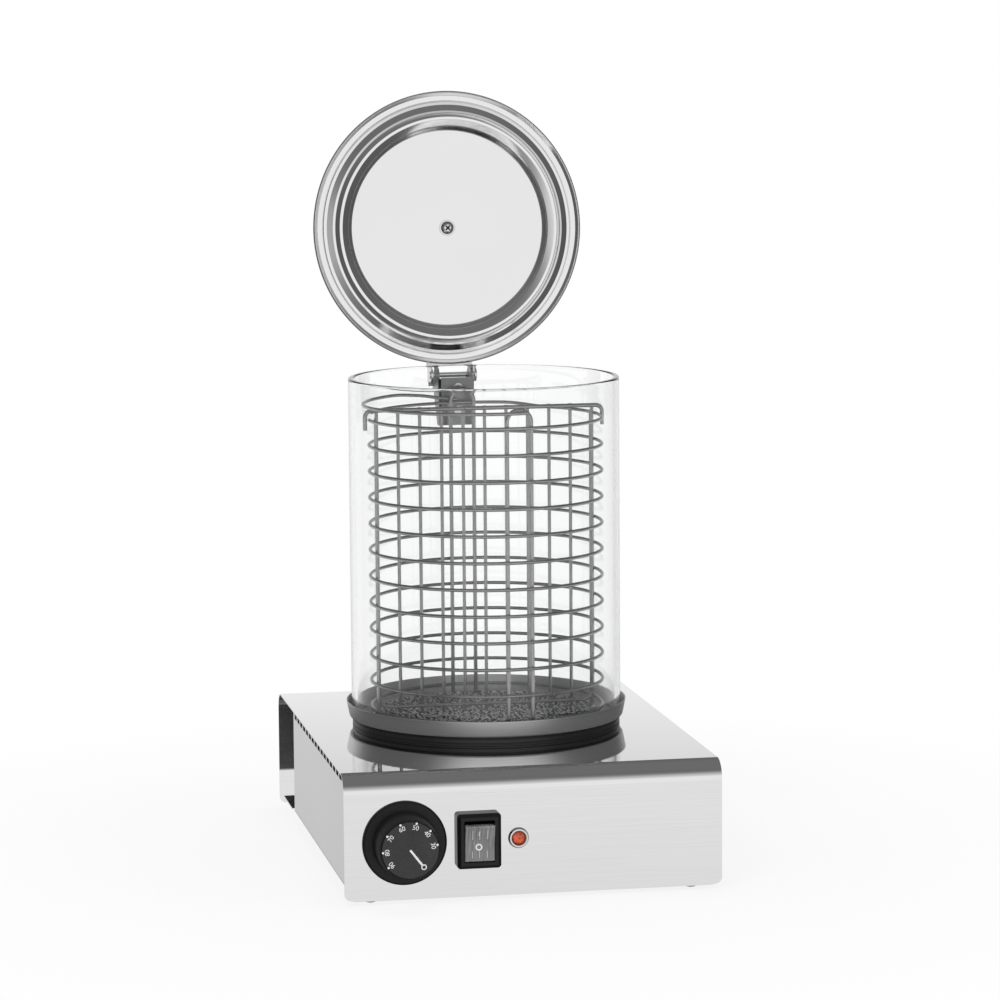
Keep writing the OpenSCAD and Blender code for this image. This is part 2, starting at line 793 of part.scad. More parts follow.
module switch_body() {
    window_w = rocker_w + 2 * window_play;
    crest_reach = norm([rocker_h / 2, rocker_crest]) * cos(rocker_crest_angle - rocker_throw / 2);
    window_h = 2 * crest_reach + 2 * window_play;
    color([0.1, 0.1, 0.1]) at_panel(switch_x) difference() {
        union() {
            hull() {
                bezel_layer(0, switch_out - bezel_bevel, 0);
                bezel_layer(0, switch_out, bezel_bevel);
            }
            translate([-switch_hole_w / 2 + 0.2, -switch_hole_h / 2 + 0.2, -switch_body_d])
                cube([switch_hole_w - 0.4, switch_hole_h - 0.4, switch_body_d + eps]);
            for (i = [-1, 0, 1]) translate([-3.2, i * 10 - 0.4, -switch_body_d - 8])
                cube([6.4, 0.8, 8 + eps]);
        }
        translate([-window_w / 2, -window_h / 2, -window_depth])
            cube([window_w, window_h, window_depth + switch_out + over]);
        translate([-rocker_w / 2 - trunnion_len - seat, 0, 0]) rotate([0, 90, 0])
            cylinder(d = trunnion_d + 2 * slip, h = rocker_w + 2 * trunnion_len + 2 * seat);
    }
}

// Each half of the rocker's face lies flush when that end is pressed
rocker_centre = switch_out + 0.3;
rocker_crest = rocker_centre + rocker_h / 2 * tan(rocker_throw / 2);
rocker_crest_angle = atan2(rocker_crest, rocker_h / 2);

module switch_rocker() {
    h = rocker_h / 2;
    color([0.45, 0.45, 0.47]) at_panel(switch_x) rotate([rocker_throw / 2, 0, 0]) {
        translate([-rocker_w / 2, 0, 0]) rotate([90, 0, 90]) linear_extrude(rocker_w) polygon([
            [-h, rocker_crest], [0, rocker_centre], [h, rocker_crest],
            [h - 1, 2], [4, -4], [-4, -4], [-h + 1, 2]
        ]);
        translate([-rocker_w / 2 - trunnion_len, 0, 0]) rotate([0, 90, 0])
            cylinder(d = trunnion_d, h = rocker_w + 2 * trunnion_len);
    }
}

lamp_body_d = 38;

module lamp_bezel() {
    color([0.85, 0.85, 0.87]) at_panel(lamp_x) difference() {
        union() {
            rotate_extrude() polygon([
                [0, 0], [lamp_d / 2, 0], [lamp_d / 2, 0.8], [lamp_d / 2 - 0.5, 2.2],
                [lamp_d / 2 - 0.9, 2.6], [0, 2.6]
            ]);
            translate([0, 0, -lamp_body_d]) cylinder(d = lamp_hole_d - 2 * slip, h = lamp_body_d + eps);
        }
        translate([0, 0, -3]) cylinder(d = lens_d + 2 * slip, h = 3 + 2.6 + over);
    }
}

module lamp_lens() {
    r = lens_d / 2;
    rise = 1.8;
    ball = (r * r + rise * rise) / (2 * rise);
    color("orangered") at_panel(lamp_x) translate([0, 0, -3]) intersection() {
        cylinder(r = r, h = 3 + 2.6 + rise);
        translate([0, 0, 3 + 2.6 + rise - ball]) sphere(r = ball);
    }
}

module lamp_nut() {
    color("silver") at_panel(lamp_x) translate([0, 0, -sheet - 3]) difference() {
        cylinder(d = lamp_hole_d + 5, h = 3, $fn = hex);
        translate([0, 0, -over]) cylinder(d = lamp_hole_d, h = 3 + 2 * over);
    }
}

block_setback = 45;  // from the chassis's rear to the block's middle
block_x = -base_w / 2 + cord_in;
block_y = chassis_rear - block_setback;

module terminal_block() {
    color("white") translate([block_x - 20, block_y - 9, side_low]) difference() {
        union() {
            cube([40, 18, 6]);
            for (i = [0:2]) translate([3 + i * 12, 3, 6 - eps]) cube([10, 12, 9]);
        }
        for (i = [0:2]) translate([8 + i * 12, 9, 8]) cylinder(d = 5, h = 10);
    }
}

module earth_stud() {
    color("goldenrod") translate([block_x + 34, block_y, side_low]) {
        cylinder(d = 4, h = 14);
        translate([0, 0, 2]) cylinder(r = 4, h = 3, $fn = hex);
    }
}

gland_bore = 8;
gland_out = 16;
gland_in = 9;

module at_gland() { translate([gland_x, chassis_rear, gland_z]) rotate([-90, 0, 0]) children(); }

module cable_gland() {
    color("black") at_gland() difference() {
        union() {
            translate([0, 0, -chassis_t - gland_in]) cylinder(d = gland_d, h = chassis_t + gland_in + eps);
            cylinder(r = 12, h = 5, $fn = hex);
            rotate_extrude() polygon([
                [0, 5 - eps], [10.2, 5 - eps], [10.2, gland_out - 4], [8, gland_out], [0, gland_out]
            ]);
        }
        translate([0, 0, -chassis_t - gland_in - over])
            cylinder(d = gland_bore, h = chassis_t + gland_in + gland_out + 2 * over);
    }
}

module gland_nut() {
    color("black") at_gland() translate([0, 0, -chassis_t - 5]) difference() {
        cylinder(r = 12, h = 5, $fn = hex);
        translate([0, 0, -over]) cylinder(d = gland_d + 2 * slip, h = 5 + 2 * over);
    }
}

// GLASS AND HINGE
// These are drawn round the glass axis, with heights from the table

screw_z = [rim_top - screw_drop, rim_top - screw_drop - screw_gap];
bracket_web_y = glass_r + 2;
inner_plate_y = sqrt(glass_ri * glass_ri - inner_w * inner_w / 4) - 1 - hinge_t;
pin_z = rim_top - pin_drop;
bracket_low = pin_z + 0.3 - bracket_h;
bracket_x = arm_x - 2 * hinge_t - 1;
boss_r = 5.5;
stop_dy = 8;
stop_d = 3;

module clamp_line(low_y, len, d) {
    for (z = screw_z) translate([0, low_y, z]) rotate([-90, 0, 0]) cylinder(d = d, h = len);
}

module glass_cylinder() {
    color([0.75, 0.85, 0.88, 0.35]) place_glass() difference() {
        translate([0, 0, glass_z + slip]) cylinder(r = glass_r, h = glass_h - slip);
        translate([0, 0, glass_z - over]) cylinder(r = glass_ri, h = glass_h + 2 * over);
        clamp_line(glass_ri - 10, 20, glass_hole_d);
    }
}

// Side cheeks of the bracket carry the hinge pin and the stop pin
module bracket_cheek() {
    far = pin_y + stop_dy + 3;
    polygon([
        [bracket_web_y, bracket_low], [bracket_web_y + 6, bracket_low],
        [far, pin_z - boss_r - 7], [far, pin_z - 3], [pin_y + boss_r, pin_z + 3],
        [pin_y + 2, pin_z + boss_r], [bracket_web_y + 3, pin_z + boss_r], [bracket_web_y, pin_z + 2]
    ]);
}

stop_z = pin_z - boss_r - 0.6 - stop_d / 2;

module hinge_bracket() {
    color("silver") place_glass() difference() {
        union() {
            translate([-bracket_x, bracket_web_y, bracket_low])
                cube([2 * bracket_x, hinge_t, pin_z - bracket_low - 2]);
            for (side = [-1, 1]) translate([side > 0 ? bracket_x - hinge_t : -bracket_x, 0, 0])
                rotate([90, 0, 90]) linear_extrude(hinge_t) bracket_cheek();
        }
        clamp_line(bracket_web_y - over, hinge_t + 2 * over, clamp_screw_d + 2 * hole_play);
        translate([-bracket_x - over, pin_y, pin_z]) rotate([0, 90, 0])
            cylinder(d = pin_d + 2 * slip, h = 2 * bracket_x + 2 * over);
        translate([-bracket_x - over, pin_y + stop_dy, stop_z]) rotate([0, 90, 0])
            cylinder(d = stop_d + 2 * slip, h = 2 * bracket_x + 2 * over);
    }
}

module hinge_inner_plate() {
    color("dimgray") place_glass() difference() {
        translate([-inner_w / 2, inner_plate_y, bracket_low + 1]) cube([inner_w, hinge_t, bracket_h - 2]);
        clamp_line(inner_plate_y - over, hinge_t + 2 * over, clamp_screw_d + 2 * hole_play);
    }
}

// Rubber pads between the flat metal and the round glass
module hinge_pads() {
    inner_face = inner_plate_y + hinge_t;
    color("black") place_glass() difference() {
        union() {
            intersection() {
                translate([-inner_w / 2, inner_face, bracket_low + 2])
                    cube([inner_w, glass_t * 2, bracket_h - 4]);
                translate([0, 0, bracket_low]) cylinder(r = glass_ri - weld, h = bracket_h);
            }
            difference() {
                translate([-bracket_x, glass_r - 4, bracket_low + 1])
                    cube([2 * bracket_x, bracket_web_y - glass_r + 4, pin_z - bracket_low - 4]);
                translate([0, 0, bracket_low - over]) cylinder(r = glass_r + weld, h = bracket_h + 2 * over);
            }
        }
        clamp_line(inner_face - over, bracket_web_y - inner_face + 2 * over, clamp_screw_d + 2 * hole_play);
    }
}

module hinge_bushes() {
    color("black") place_glass() difference() {
        intersection() {
            clamp_line(glass_ri - 8, 20, glass_hole_d - 2 * slip);
            difference() {
                translate([0, 0, bracket_low]) cylinder(r = glass_r, h = bracket_h);
                translate([0, 0, bracket_low - over]) cylinder(r = glass_ri, h = bracket_h + 2 * over);
            }
        }
        clamp_line(glass_ri - 10, 20, clamp_screw_d + 2 * slip);
        translate([-glass_r, -2 * glass_r, bracket_low]) cube([2 * glass_r, 2 * glass_r, bracket_h]);
    }
}

screw_head_h = 2.2;

module hinge_screws() {
    color("silver") place_glass() for (z = screw_z) translate([0, inner_plate_y, z]) rotate([-90, 0, 0])
        screw(clamp_screw_d, bracket_web_y + hinge_t + nut_h + 0.8 - inner_plate_y, 3.6, screw_head_h);
}

module hinge_nuts() {
    color("silver") place_glass() for (z = screw_z) translate([0, bracket_web_y + hinge_t, z])
        rotate([-90, 0, 0]) nut(clamp_screw_d, nut_h);
}

pin_head = 0.8;

module hinge_pin() {
    color("silver") place_glass() translate([0, pin_y, pin_z]) rotate([0, 90, 0]) {
        translate([0, 0, -arm_x - pin_head]) cylinder(d = pin_d, h = 2 * (arm_x + pin_head));
        for (side = [0, 1]) mirror([0, 0, side]) translate([0, 0, arm_x + 0.2])
            cylinder(d = pin_d + 1.6, h = pin_head - 0.2);
    }
}

module stop_pin() {
    color("silver") place_glass() translate([-arm_x, pin_y + stop_dy, stop_z]) rotate([0, 90, 0])
        cylinder(d = stop_d, h = 2 * arm_x);
}

// LID
// Drawn closed, with its centre on the glass axis and heights from the glass rim,
// and then turned back about the hinge pin

module place_lid() {
    place_glass() translate([0, pin_y, pin_z]) rotate([-lid_open, 0, 0])
        translate([0, -pin_y, pin_drop]) children();
}

lid_r = lid_d / 2;
lid_over = lid_gap + lid_t;
collar_r = glass_ri - 1.2;

module lid_shell() {
    under = [
        [knob_screw_d / 2 + slip, lid_gap], [disc_r, lid_gap], [bead_ri, lid_gap - bead_h],
        [bead_ro, lid_gap - bead_h], [collar_r, lid_gap], [lid_r - lid_t, lid_gap],
        [lid_r - lid_t, lid_gap - skirt_h]
    ];
    upper = [
        [lid_r, lid_gap - skirt_h], [lid_r, lid_over - 0.6], [lid_r - 0.6, lid_over],
        [collar_r - 0.3, lid_over], [bead_ro - 0.4, lid_over - bead_h],
        [bead_ri + 0.4, lid_over - bead_h], [disc_r + 0.5, lid_over],
        [knob_screw_d / 2 + slip, lid_over]
    ];
    color("gainsboro") place_lid() rotate_extrude() polygon(concat(under, upper));
}

// Width of the arm's two legs, which pass outside the bracket's cheeks
leg_w = 2 * hinge_t + 0.5;
arm_reach = 44;

module lid_arm() {
    arm_front = lid_r - arm_reach;
    back = pin_y + boss_r;
    color("silver") place_lid() difference() {
        union() {
            translate([-arm_x, arm_front, lid_over]) cube([2 * arm_x, back - arm_front, hinge_t]);
            for (side = [-1, 1]) translate([side > 0 ? arm_x - hinge_t : -arm_x, 0, 0])
                rotate([90, 0, 90]) linear_extrude(hinge_t) {
                    translate([pin_y, -pin_drop]) circle(r = boss_r);
                    translate([pin_y - boss_r, -pin_drop]) square([2 * boss_r, pin_drop + lid_over + eps]);
                }
        }
        translate([-arm_x + leg_w, pin_y - boss_r, lid_over - over])
            cube([2 * (arm_x - leg_w), 2 * boss_r + over, hinge_t + 2 * over]);
        translate([-arm_x - over, pin_y, -pin_drop]) rotate([0, 90, 0])
            cylinder(d = pin_d + 2 * slip, h = 2 * arm_x + 2 * over);
    }
}

knob_screw_d = 5;
washer_t = 0.8;

module lid_knob() {
    r = lid_knob_d / 2;
    color([0.1, 0.1, 0.1]) place_lid() translate([0, 0, lid_over]) difference() {
        rotate_extrude() polygon([
            [0, 0], [12, 0], [11, 3], [8.5, 8], [9, lid_knob_h * 0.45], [r * 0.82, lid_knob_h * 0.6],
            [r, lid_knob_h * 0.72], [r, lid_knob_h * 0.84], [r * 0.86, lid_knob_h * 0.95],
            [r * 0.5, lid_knob_h], [0, lid_knob_h]
        ]);
        translate([0, 0, -over]) cylinder(d = knob_screw_d + 2 * slip, h = 14 + over);
    }
}

module knob_washer() {
    color("gainsboro") place_lid() translate([0, 0, lid_gap - washer_t]) difference() {
        cylinder(r = 6.2, h = washer_t);
        translate([0, 0, -over]) cylinder(d = knob_screw_d + 2 * slip, h = washer_t + 2 * over);
    }
}

module knob_screw() {
    color("silver") place_lid() difference() {
        translate([0, 0, lid_gap - washer_t]) screw(knob_screw_d, washer_t + lid_t + 13, 4.2, 2.2);
        for (a = [45, 135]) rotate([0, 0, a])
            translate([-2.4, -0.5, lid_gap - washer_t - 3.2]) cube([4.8, 1, 2]);
    }
}

// BASKET

module place_basket() { translate([basket_x, glass_y, 0]) children(); }

first_ring_z = sieve_top + ring_top;
post_r = ring_r - ring_wire / 2 - post_wire / 2 - weld;

module basket_ring(i) {
    color("silver") place_basket() translate([0, 0, first_ring_z - i * ring_pitch]) torus(ring_r, ring_wire);
}

module basket_rings() {
    for (i = [1:ring_count - 1]) basket_ring(i);
}

module basket_low_ring() { basket_ring(ring_count); }

// Two open turns of wire, each as a table of [angle, height above ring_top, spring past the rings].
// The low turn starts with a free end at the left and goes round by the front and the right to the
// rear, where it lies one wire higher. The loose turn starts with a free end at the front, goes
// round by the left, and comes to lie on the low turn at the rear.
low_turn = [
    [-540, 0, 0], [-310, 0, 0], [-293, ring_wire, 0], [-217, ring_wire, 0], [-200, 0.9 * ring_wire, 0]
];
loose_turn = [
    [-266, 2 * ring_wire + weld, 0], [-261, 2 * ring_wire + weld, 0.1], [-249, 0.78 * top_turn_rise, 0.4],
    [-232, top_turn_rise, 0.6], [-180, 0.97 * top_turn_rise, 1], [-80, top_turn_rise, 0.3]
];
turn_step = 5;           // degrees from one bend of a turn to the next

function level_at(table, a) = lookup(a, [for (row = table) [row[0], row[1]]]);
function spring_at(table, a) = lookup(a, [for (row = table) [row[0], row[2]]]);

module open_turn(table) {
    from = table[0][0];
    span = table[len(table) - 1][0] - from;
    steps = ceil(span / turn_step);
    path = [
        for (i = [0:steps])
            let (
                a = from + span * i / steps,
                r = ring_r + weld + top_turn_play * spring_at(table, a)
            )
            [r * cos(a), r * sin(a), first_ring_z + level_at(table, a)]
    ];
    swept(path, ring_wire / 2, 8, [0, 0, 1]);
}

module basket_top_turn() {
    color("silver") place_basket() {
        open_turn(low_turn);
        open_turn(loose_turn);
    }
}

// Two legs joined by a round arch, at a distance from the axis that clears the rings
module hairpin() {
    half = leg_gap / 2;
    away = sqrt(post_r * post_r - half * half);
    arch_z = sieve_top + arch_top - post_wire / 2 - half;
    for (side = [-1, 1]) translate([away, side * half, wire_foot])
        cylinder(d = post_wire, h = arch_z - wire_foot);
    translate([away, 0, arch_z]) rotate([90, 0, 90]) rotate_extrude(angle = 180)
        translate([half, 0]) circle(d = post_wire, $fn = 32);
}

module basket_hairpins() {
    color("silver") place_basket() {
        rotate([0, 0, front_pair_turn]) hairpin();
        rotate([0, 0, rear_pair_turn]) hairpin();
    }
}

module basket_posts() {
    color("silver") place_basket() for (a = [side_post_turn, 180 + side_post_turn]) rotate([0, 0, a])
        upright(post_r, 0, wire_foot, first_ring_z + ring_wire, post_wire);
}

bar_z = sieve_top + bar_rise;
hook_r = 5;

module divider_top_bar() {
    run = bar_half - hook_r;
    color("silver") place_basket() translate([0, 0, bar_z]) {
        translate([-run, 0, 0]) rotate([0, 90, 0]) cylinder(d = bar_wire, h = 2 * run);
        for (side = [0, 1]) mirror([side, 0, 0]) {
            translate([run, 0, -hook_r]) rotate([90, 0, 0]) rotate_extrude(angle = 90)
                translate([hook_r, 0]) circle(d = bar_wire, $fn = 32);
            translate([bar_half, 0, -hook_len]) cylinder(d = bar_wire, h = hook_len - hook_r);
        }
    }
}

frame_corner = 8;
frame_half = divider_pitch * (divider_count - 1) / 2;
bottom_z = sieve_top + bottom_rise;

module divider_frame() {
    run = frame_half - frame_corner;
    color("silver") place_basket() translate([0, 0, bottom_z]) {
        translate([-run, 0, 0]) rotate([0, 90, 0]) cylinder(d = divider_wire, h = 2 * run);
        for (side = [0, 1]) mirror([side, 0, 0]) {
            translate([run, 0, frame_corner]) rotate([90, 0, 0]) rotate_extrude(angle = -90)
                translate([frame_corner, 0]) circle(d = divider_wire, $fn = 32);
            translate([frame_half, 0, frame_corner])
                cylinder(d = divider_wire, h = bar_z - bar_wire / 2 - weld - bottom_z - frame_corner);
        }
    }
}

module divider_bars() {
    back = (bar_wire + divider_wire) / 2 + weld;
    color("silver") place_basket() for (i = [1:divider_count - 2])
        upright(-frame_half + i * divider_pitch, back, wire_foot, bar_z + bar_wire / 2, divider_wire);
}

housing_cover();
base_plate();
side_panel_left();
side_panel_right();
rear_wall();
feet();
foot_studs();
foot_nuts();
foot_spacers();
base_screws();
pan_gasket();
water_pan();
pan_studs();
pan_nuts();
sieve_plate();
heat_spreader();
heating_element();
element_clamp();
element_stud();
element_nut();
safety_cutout();
thermostat_body();
thermostat_screws();
thermostat_bulb();
bulb_clips();
dial_plate();
switch_body();
lamp_bezel();
lamp_lens();
lamp_nut();
terminal_block();
earth_stud();
cable_gland();
gland_nut();
dial_knob();
dial_shaft();
switch_rocker();
glass_cylinder();
hinge_bracket();
hinge_inner_plate();
hinge_pads();
hinge_bushes();
hinge_screws();
hinge_nuts();
hinge_pin();
stop_pin();
lid_shell();
lid_arm();
lid_knob();
knob_screw();
knob_washer();
basket_rings();
basket_low_ring();
basket_top_turn();
basket_hairpins();
basket_posts();
divider_top_bar();
divider_frame();
divider_bars();
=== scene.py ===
import bpy
import json
import math
from mathutils import Matrix, Vector


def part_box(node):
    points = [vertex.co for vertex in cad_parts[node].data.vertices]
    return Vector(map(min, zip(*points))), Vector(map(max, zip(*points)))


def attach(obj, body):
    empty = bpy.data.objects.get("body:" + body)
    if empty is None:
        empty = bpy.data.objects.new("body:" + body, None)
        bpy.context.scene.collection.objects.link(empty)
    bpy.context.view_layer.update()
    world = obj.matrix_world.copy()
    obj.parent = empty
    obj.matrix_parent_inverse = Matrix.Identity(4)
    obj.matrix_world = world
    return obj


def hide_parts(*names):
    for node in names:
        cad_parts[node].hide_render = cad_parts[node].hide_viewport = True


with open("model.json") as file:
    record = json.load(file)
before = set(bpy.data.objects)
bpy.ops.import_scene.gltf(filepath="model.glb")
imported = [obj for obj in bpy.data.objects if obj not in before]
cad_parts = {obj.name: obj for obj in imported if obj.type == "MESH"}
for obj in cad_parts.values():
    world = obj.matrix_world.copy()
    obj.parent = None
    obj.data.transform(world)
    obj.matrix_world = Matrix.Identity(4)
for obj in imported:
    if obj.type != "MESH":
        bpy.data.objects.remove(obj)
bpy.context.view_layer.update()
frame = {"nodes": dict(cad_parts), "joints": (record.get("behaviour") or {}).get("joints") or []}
MM = 0.001

# Sizes repeated from the part's source
PAN_SHEET = 1.0 * MM
PAN_FLARE = 2.4 * MM
WELL_R = 79 * MM
GASKET_WIDTH = 9.5 * MM
GLASS_WALL = 4 * MM
WIRE_R = 1.25 * MM
RING_PITCH = 19.45 * MM
TURN_PLAY = 4.2 * MM
HALF_THROW = math.radians(8)

# The flat rim round the sieve's mesh
SIEVE_RIM = 3.4 * MM
# Loops this far from the rounded rims of the glass keep its wall's shading straight
GLASS_LAND = 3 * MM

# Printed marks
MARK_THICK = 0.06 * MM
LETTER_THICK = 0.05 * MM
NUMBER_SIZE = 4.6 * MM
NUMBER_REACH = 16.1 * MM
DOT_REACH = 19.2 * MM
POINTER_ANGLE = -52.3
DIAL_SCALE = ((30, 9.5), (40, 43.0), (50, 76.4), (60, 110.7), (70, 147.0), (80, 183.0), (90, 216.8))

# Sides of round pieces
LARGE_SIDES = 256
PAN_SIDES = 192
GASKET_SIDES = 160
DISC_SIDES = 24
RING_SIDES = 36

# The photograph's own view
LENS = 140.07
TURN, TILT, ROLL = math.radians(-10.55), math.radians(-7.18), math.radians(-0.42)
SPOT_FROM_GLASS = (-0.5122, -2.8129, 0.6189)


# Shader maths

class Link:
    """A shader socket that takes Python's arithmetic."""

    def __init__(self, paint, socket):
        self.paint = paint
        self.socket = socket

    def _math(self, operation, first, second):
        return self.paint.node("ShaderNodeMath", {"operation": operation}, {0: first, 1: second})

    def __add__(self, other):
        return self._math("ADD", self, other)

    def __sub__(self, other):
        return self._math("SUBTRACT", self, other)

    def __rsub__(self, other):
        return self._math("SUBTRACT", other, self)

    def __mul__(self, other):
        return self._math("MULTIPLY", self, other)

    def __pow__(self, other):
        return self._math("POWER", self, other)

    def above(self, other):
        return self._math("GREATER_THAN", self, other)

    def highest(self, other):
        return self._math("MAXIMUM", self, other)

    __radd__ = __add__
    __rmul__ = __mul__


class Paint:
    """One node tree, with short ways to add nodes to it."""

    def __init__(self, tree):
        self.tree = tree

    def node(self, kind, settings=None, sockets=None, output=0):
        made = self.tree.nodes.new(kind)
        for name, value in (settings or {}).items():
            if name == "stops":
                self._set_stops(made.color_ramp, value)
            else:
                setattr(made, name, value)
        for name, value in (sockets or {}).items():
            self.feed(made.inputs[name], value)
        return Link(self, made.outputs[output])

    def _set_stops(self, ramp, stops):
        while len(ramp.elements) < len(stops):
            ramp.elements.new(0.5)
        for element, (place, grey) in zip(ramp.elements, stops):
            element.position = place
            element.color = (grey, grey, grey, 1)

    def feed(self, socket, value):
        if isinstance(value, Link):
            self.tree.links.new(value.socket, socket)
        elif hasattr(value, "__len__") and len(value) == 3 and socket.type == "RGBA":
            socket.default_value = (*value, 1)
        else:
            socket.default_value = value

    def place(self):
        return self.node("ShaderNodeTexCoord", output="Object")

    def stretched(self, scale):
        """Places in the row frame, stretched by so many cycles to the metre along X, Y and Z."""
        return self.node("ShaderNodeMapping", sockets={"Vector": self.place(), "Scale": scale})

    def noise(self, vector, detail=2.0, roughness=0.5):
        return self.node("ShaderNodeTexNoise", sockets={
            "Vector": vector, "Scale": 1.0, "Detail": detail, "Roughness": roughness})

    def ramp(self, value, stops):
        return self.node("ShaderNodeValToRGB", {"stops": stops}, {"Fac": value})

    def parts(self, vector, count=3):
        """The first parts of a vector, each as a link."""
        split = self.node("ShaderNodeSeparateXYZ", sockets={0: vector}).socket.node
        return [Link(self, split.outputs[i]) for i in range(count)]


class Material(Paint):
    """A material round one Principled shader."""

    def __init__(self, name, constants):
        self.material = bpy.data.materials.new(name)
        self.material.use_nodes = True
        super().__init__(self.material.node_tree)
        self.shader = self.tree.nodes["Principled BSDF"]
        self.set(constants)

    def set(self, sockets):
        for name, value in sockets.items():
            self.feed(self.shader.inputs[name], value)

    def bump(self, height, distance):
        self.set({"Normal": self.node("ShaderNodeBump", sockets={"Height": height, "Distance": distance})})


# Blender gives the two colour inputs of a Mix node the same names as its other inputs
def colour_mix(paint, factor, first, second):
    mixed = paint.node("ShaderNodeMix", {"data_type": "RGBA", "clamp_factor": True})
    node = mixed.socket.node
    paint.feed(node.inputs[0], factor)
    paint.feed(node.inputs[6], first)
    paint.feed(node.inputs[7], second)
    return Link(paint, node.outputs[2])


# Finishes

def brushed_sheet(name, grey, roughness, lines, depth=0.0000015, cloud=0.05):
    """Sheet metal with fine grinding lines. lines are cycles to the metre along X, Y and Z."""
    paint = Material(name, {"Metallic": 1.0})
    fine = paint.noise(paint.stretched(lines), detail=3.0)
    wide = paint.noise(paint.stretched((9.0, 9.0, 9.0)), detail=2.0)
    paint.set({
        "Base Color": colour_mix(paint, fine, [0.93 * grey] * 3, [min(1.0, 1.05 * grey)] * 3),
        "Roughness": (fine - 0.5) * 0.3 * roughness + (wide - 0.5) * cloud + roughness,
    })
    paint.bump(fine, depth)
    return paint.material


def bright_metal(name, grey, roughness, marks=60.0, wear=0.06, tint=0.09):
    """Polished or drawn metal with soft handling marks."""
    paint = Material(name, {"Metallic": 1.0})
    spots = paint.noise(paint.stretched((marks, marks, marks)), detail=4.0, roughness=0.6)
    paint.set({
        "Base Color": colour_mix(paint, spots, [(1 - tint) * grey] * 3, [min(1.0, (1 + tint) * grey)] * 3),
        "Roughness": (spots - 0.5) * wear + roughness,
    })
    paint.bump(spots, 0.000004)
    return paint.material


def woven_steel(name):
    """The sieve's steel, with the dark gaps and bright strands of a finer mesh: the gaps are painted shade
    and the strands painted glints.
    """
    paint = Material(name, {"Metallic": 0.45, "Roughness": 0.34})
    # Painted shade in the finer mesh's gaps and painted glints on its strands
    strand_glints_and_gap_shade = paint.noise(paint.stretched((430.0, 120.0, 120.0)), detail=2.0, roughness=0.6) * 8.0 - 3.5
    paint.set({"Base Color": colour_mix(paint, strand_glints_and_gap_shade, (0.045, 0.045, 0.045), (0.95, 0.95, 0.94))})
    paint.bump(strand_glints_and_gap_shade, 0.0004)
    return paint.material


def grained_plastic(name, colour, roughness, grain=1800.0, depth=0.00003, shine=0.4, tint=0.22):
    """Moulded plastic with a spark-eroded grain."""
    paint = Material(name, {"Specular IOR Level": shine})
    fine = paint.noise(paint.stretched((grain, grain, grain)), detail=3.0, roughness=0.6)
    wide = paint.noise(paint.stretched((40.0, 40.0, 40.0)), detail=2.0)
    low = [(1 - tint) * c for c in colour]
    high = [(1 + tint) * c for c in colour]
    paint.set({
        "Base Color": colour_mix(paint, fine * 0.6 + wide * 0.4, low, high),
        "Roughness": (fine - 0.5) * 0.15 + roughness,
    })
    paint.bump(fine, depth)
    return paint.material


def spun_steel(name, grey, roughness, centre):
    """Steel turned on a lathe: rings round an upright axis."""
    paint = Material(name, {"Metallic": 1.0})
    place = paint.node("ShaderNodeVectorMath", {"operation": "SUBTRACT"}, {0: paint.place(), 1: centre})
    x, y, z = paint.parts(place)
    reach = (x * x + y * y) ** 0.5
    rings = paint.node("ShaderNodeCombineXYZ", sockets={0: reach * 1500.0, 1: z * 1500.0, 2: 0.0})
    fine = paint.noise(rings, detail=2.0)
    wide = paint.noise(paint.stretched((14.0, 14.0, 14.0)), detail=3.0)
    paint.set({
        "Base Color": colour_mix(paint, fine, [0.75 * grey] * 3, [min(1.0, 1.1 * grey)] * 3),
        "Roughness": (fine - 0.5) * 0.12 + (wide - 0.5) * 0.1 + roughness,
    })
    paint.bump(fine, 0.000003)
    return paint.material


def clear_glass(name):
    """Glass with a thin uneven film and a low gloss."""
    paint = Material(name, {
        "Base Color": (0.99, 0.995, 0.993), "Transmission Weight": 1.0, "IOR": 1.47,
        "Specular IOR Level": 0.06})
    film = paint.noise(paint.stretched((18.0, 18.0, 6.0)), detail=2.0)
    paint.set({"Roughness": film * 0.01})
    return paint.material


def smoky_plastic(name):
    """Clear grey plastic, lighter and darker in streaks that run up and down."""
    paint = Material(name, {"Transmission Weight": 0.2, "IOR": 1.49, "Coat Weight": 0.3})
    haze = paint.noise(paint.stretched((1300.0, 100.0, 60.0)), detail=3.0, roughness=0.6)
    paint.set({
        "Base Color": colour_mix(paint, haze * 1.6 - 0.3, (0.10, 0.10, 0.102), (0.46, 0.46, 0.47)),
        "Roughness": haze * 0.15 + 0.15,
    })
    return paint.material


def lamp_red(name):
    """The pilot lamp's clear red dome."""
    paint = Material(name, {"Transmission Weight": 0.85, "IOR": 1.5})
    cells = paint.noise(paint.stretched((900.0, 900.0, 900.0)), detail=1.0)
    paint.set({
        "Base Color": colour_mix(paint, cells, (0.95, 0.16, 0.07), (1.0, 0.42, 0.24)),
        "Roughness": cells * 0.06 + 0.03,
    })
    return paint.material


def lamp_core(name):
    """The lamp's inside: deep red facets with painted orange glints."""
    paint = Material(name, {"Roughness": 0.25, "Emission Strength": 0.35})
    # Painted glints: orange spots in the facets' colour and in their glow
    cells = paint.noise(paint.stretched((700.0, 700.0, 700.0)), detail=1.5) * 2.4 - 0.7
    paint.set({
        "Base Color": colour_mix(paint, cells, (0.20, 0.015, 0.01), (1.0, 0.32, 0.14)),
        "Emission Color": colour_mix(paint, cells, (0.12, 0.008, 0.004), (1.0, 0.30, 0.12)),
    })
    return paint.material


def plain_brass(name):
    """The earth stud's brass, lightly stained."""
    paint = Material(name, {"Metallic": 1.0, "Roughness": 0.3})
    stains = paint.noise(paint.stretched((200.0, 200.0, 200.0)))
    paint.set({"Base Color": colour_mix(paint, stains, (0.7, 0.5, 0.2), (0.85, 0.66, 0.33))})
    return paint.material


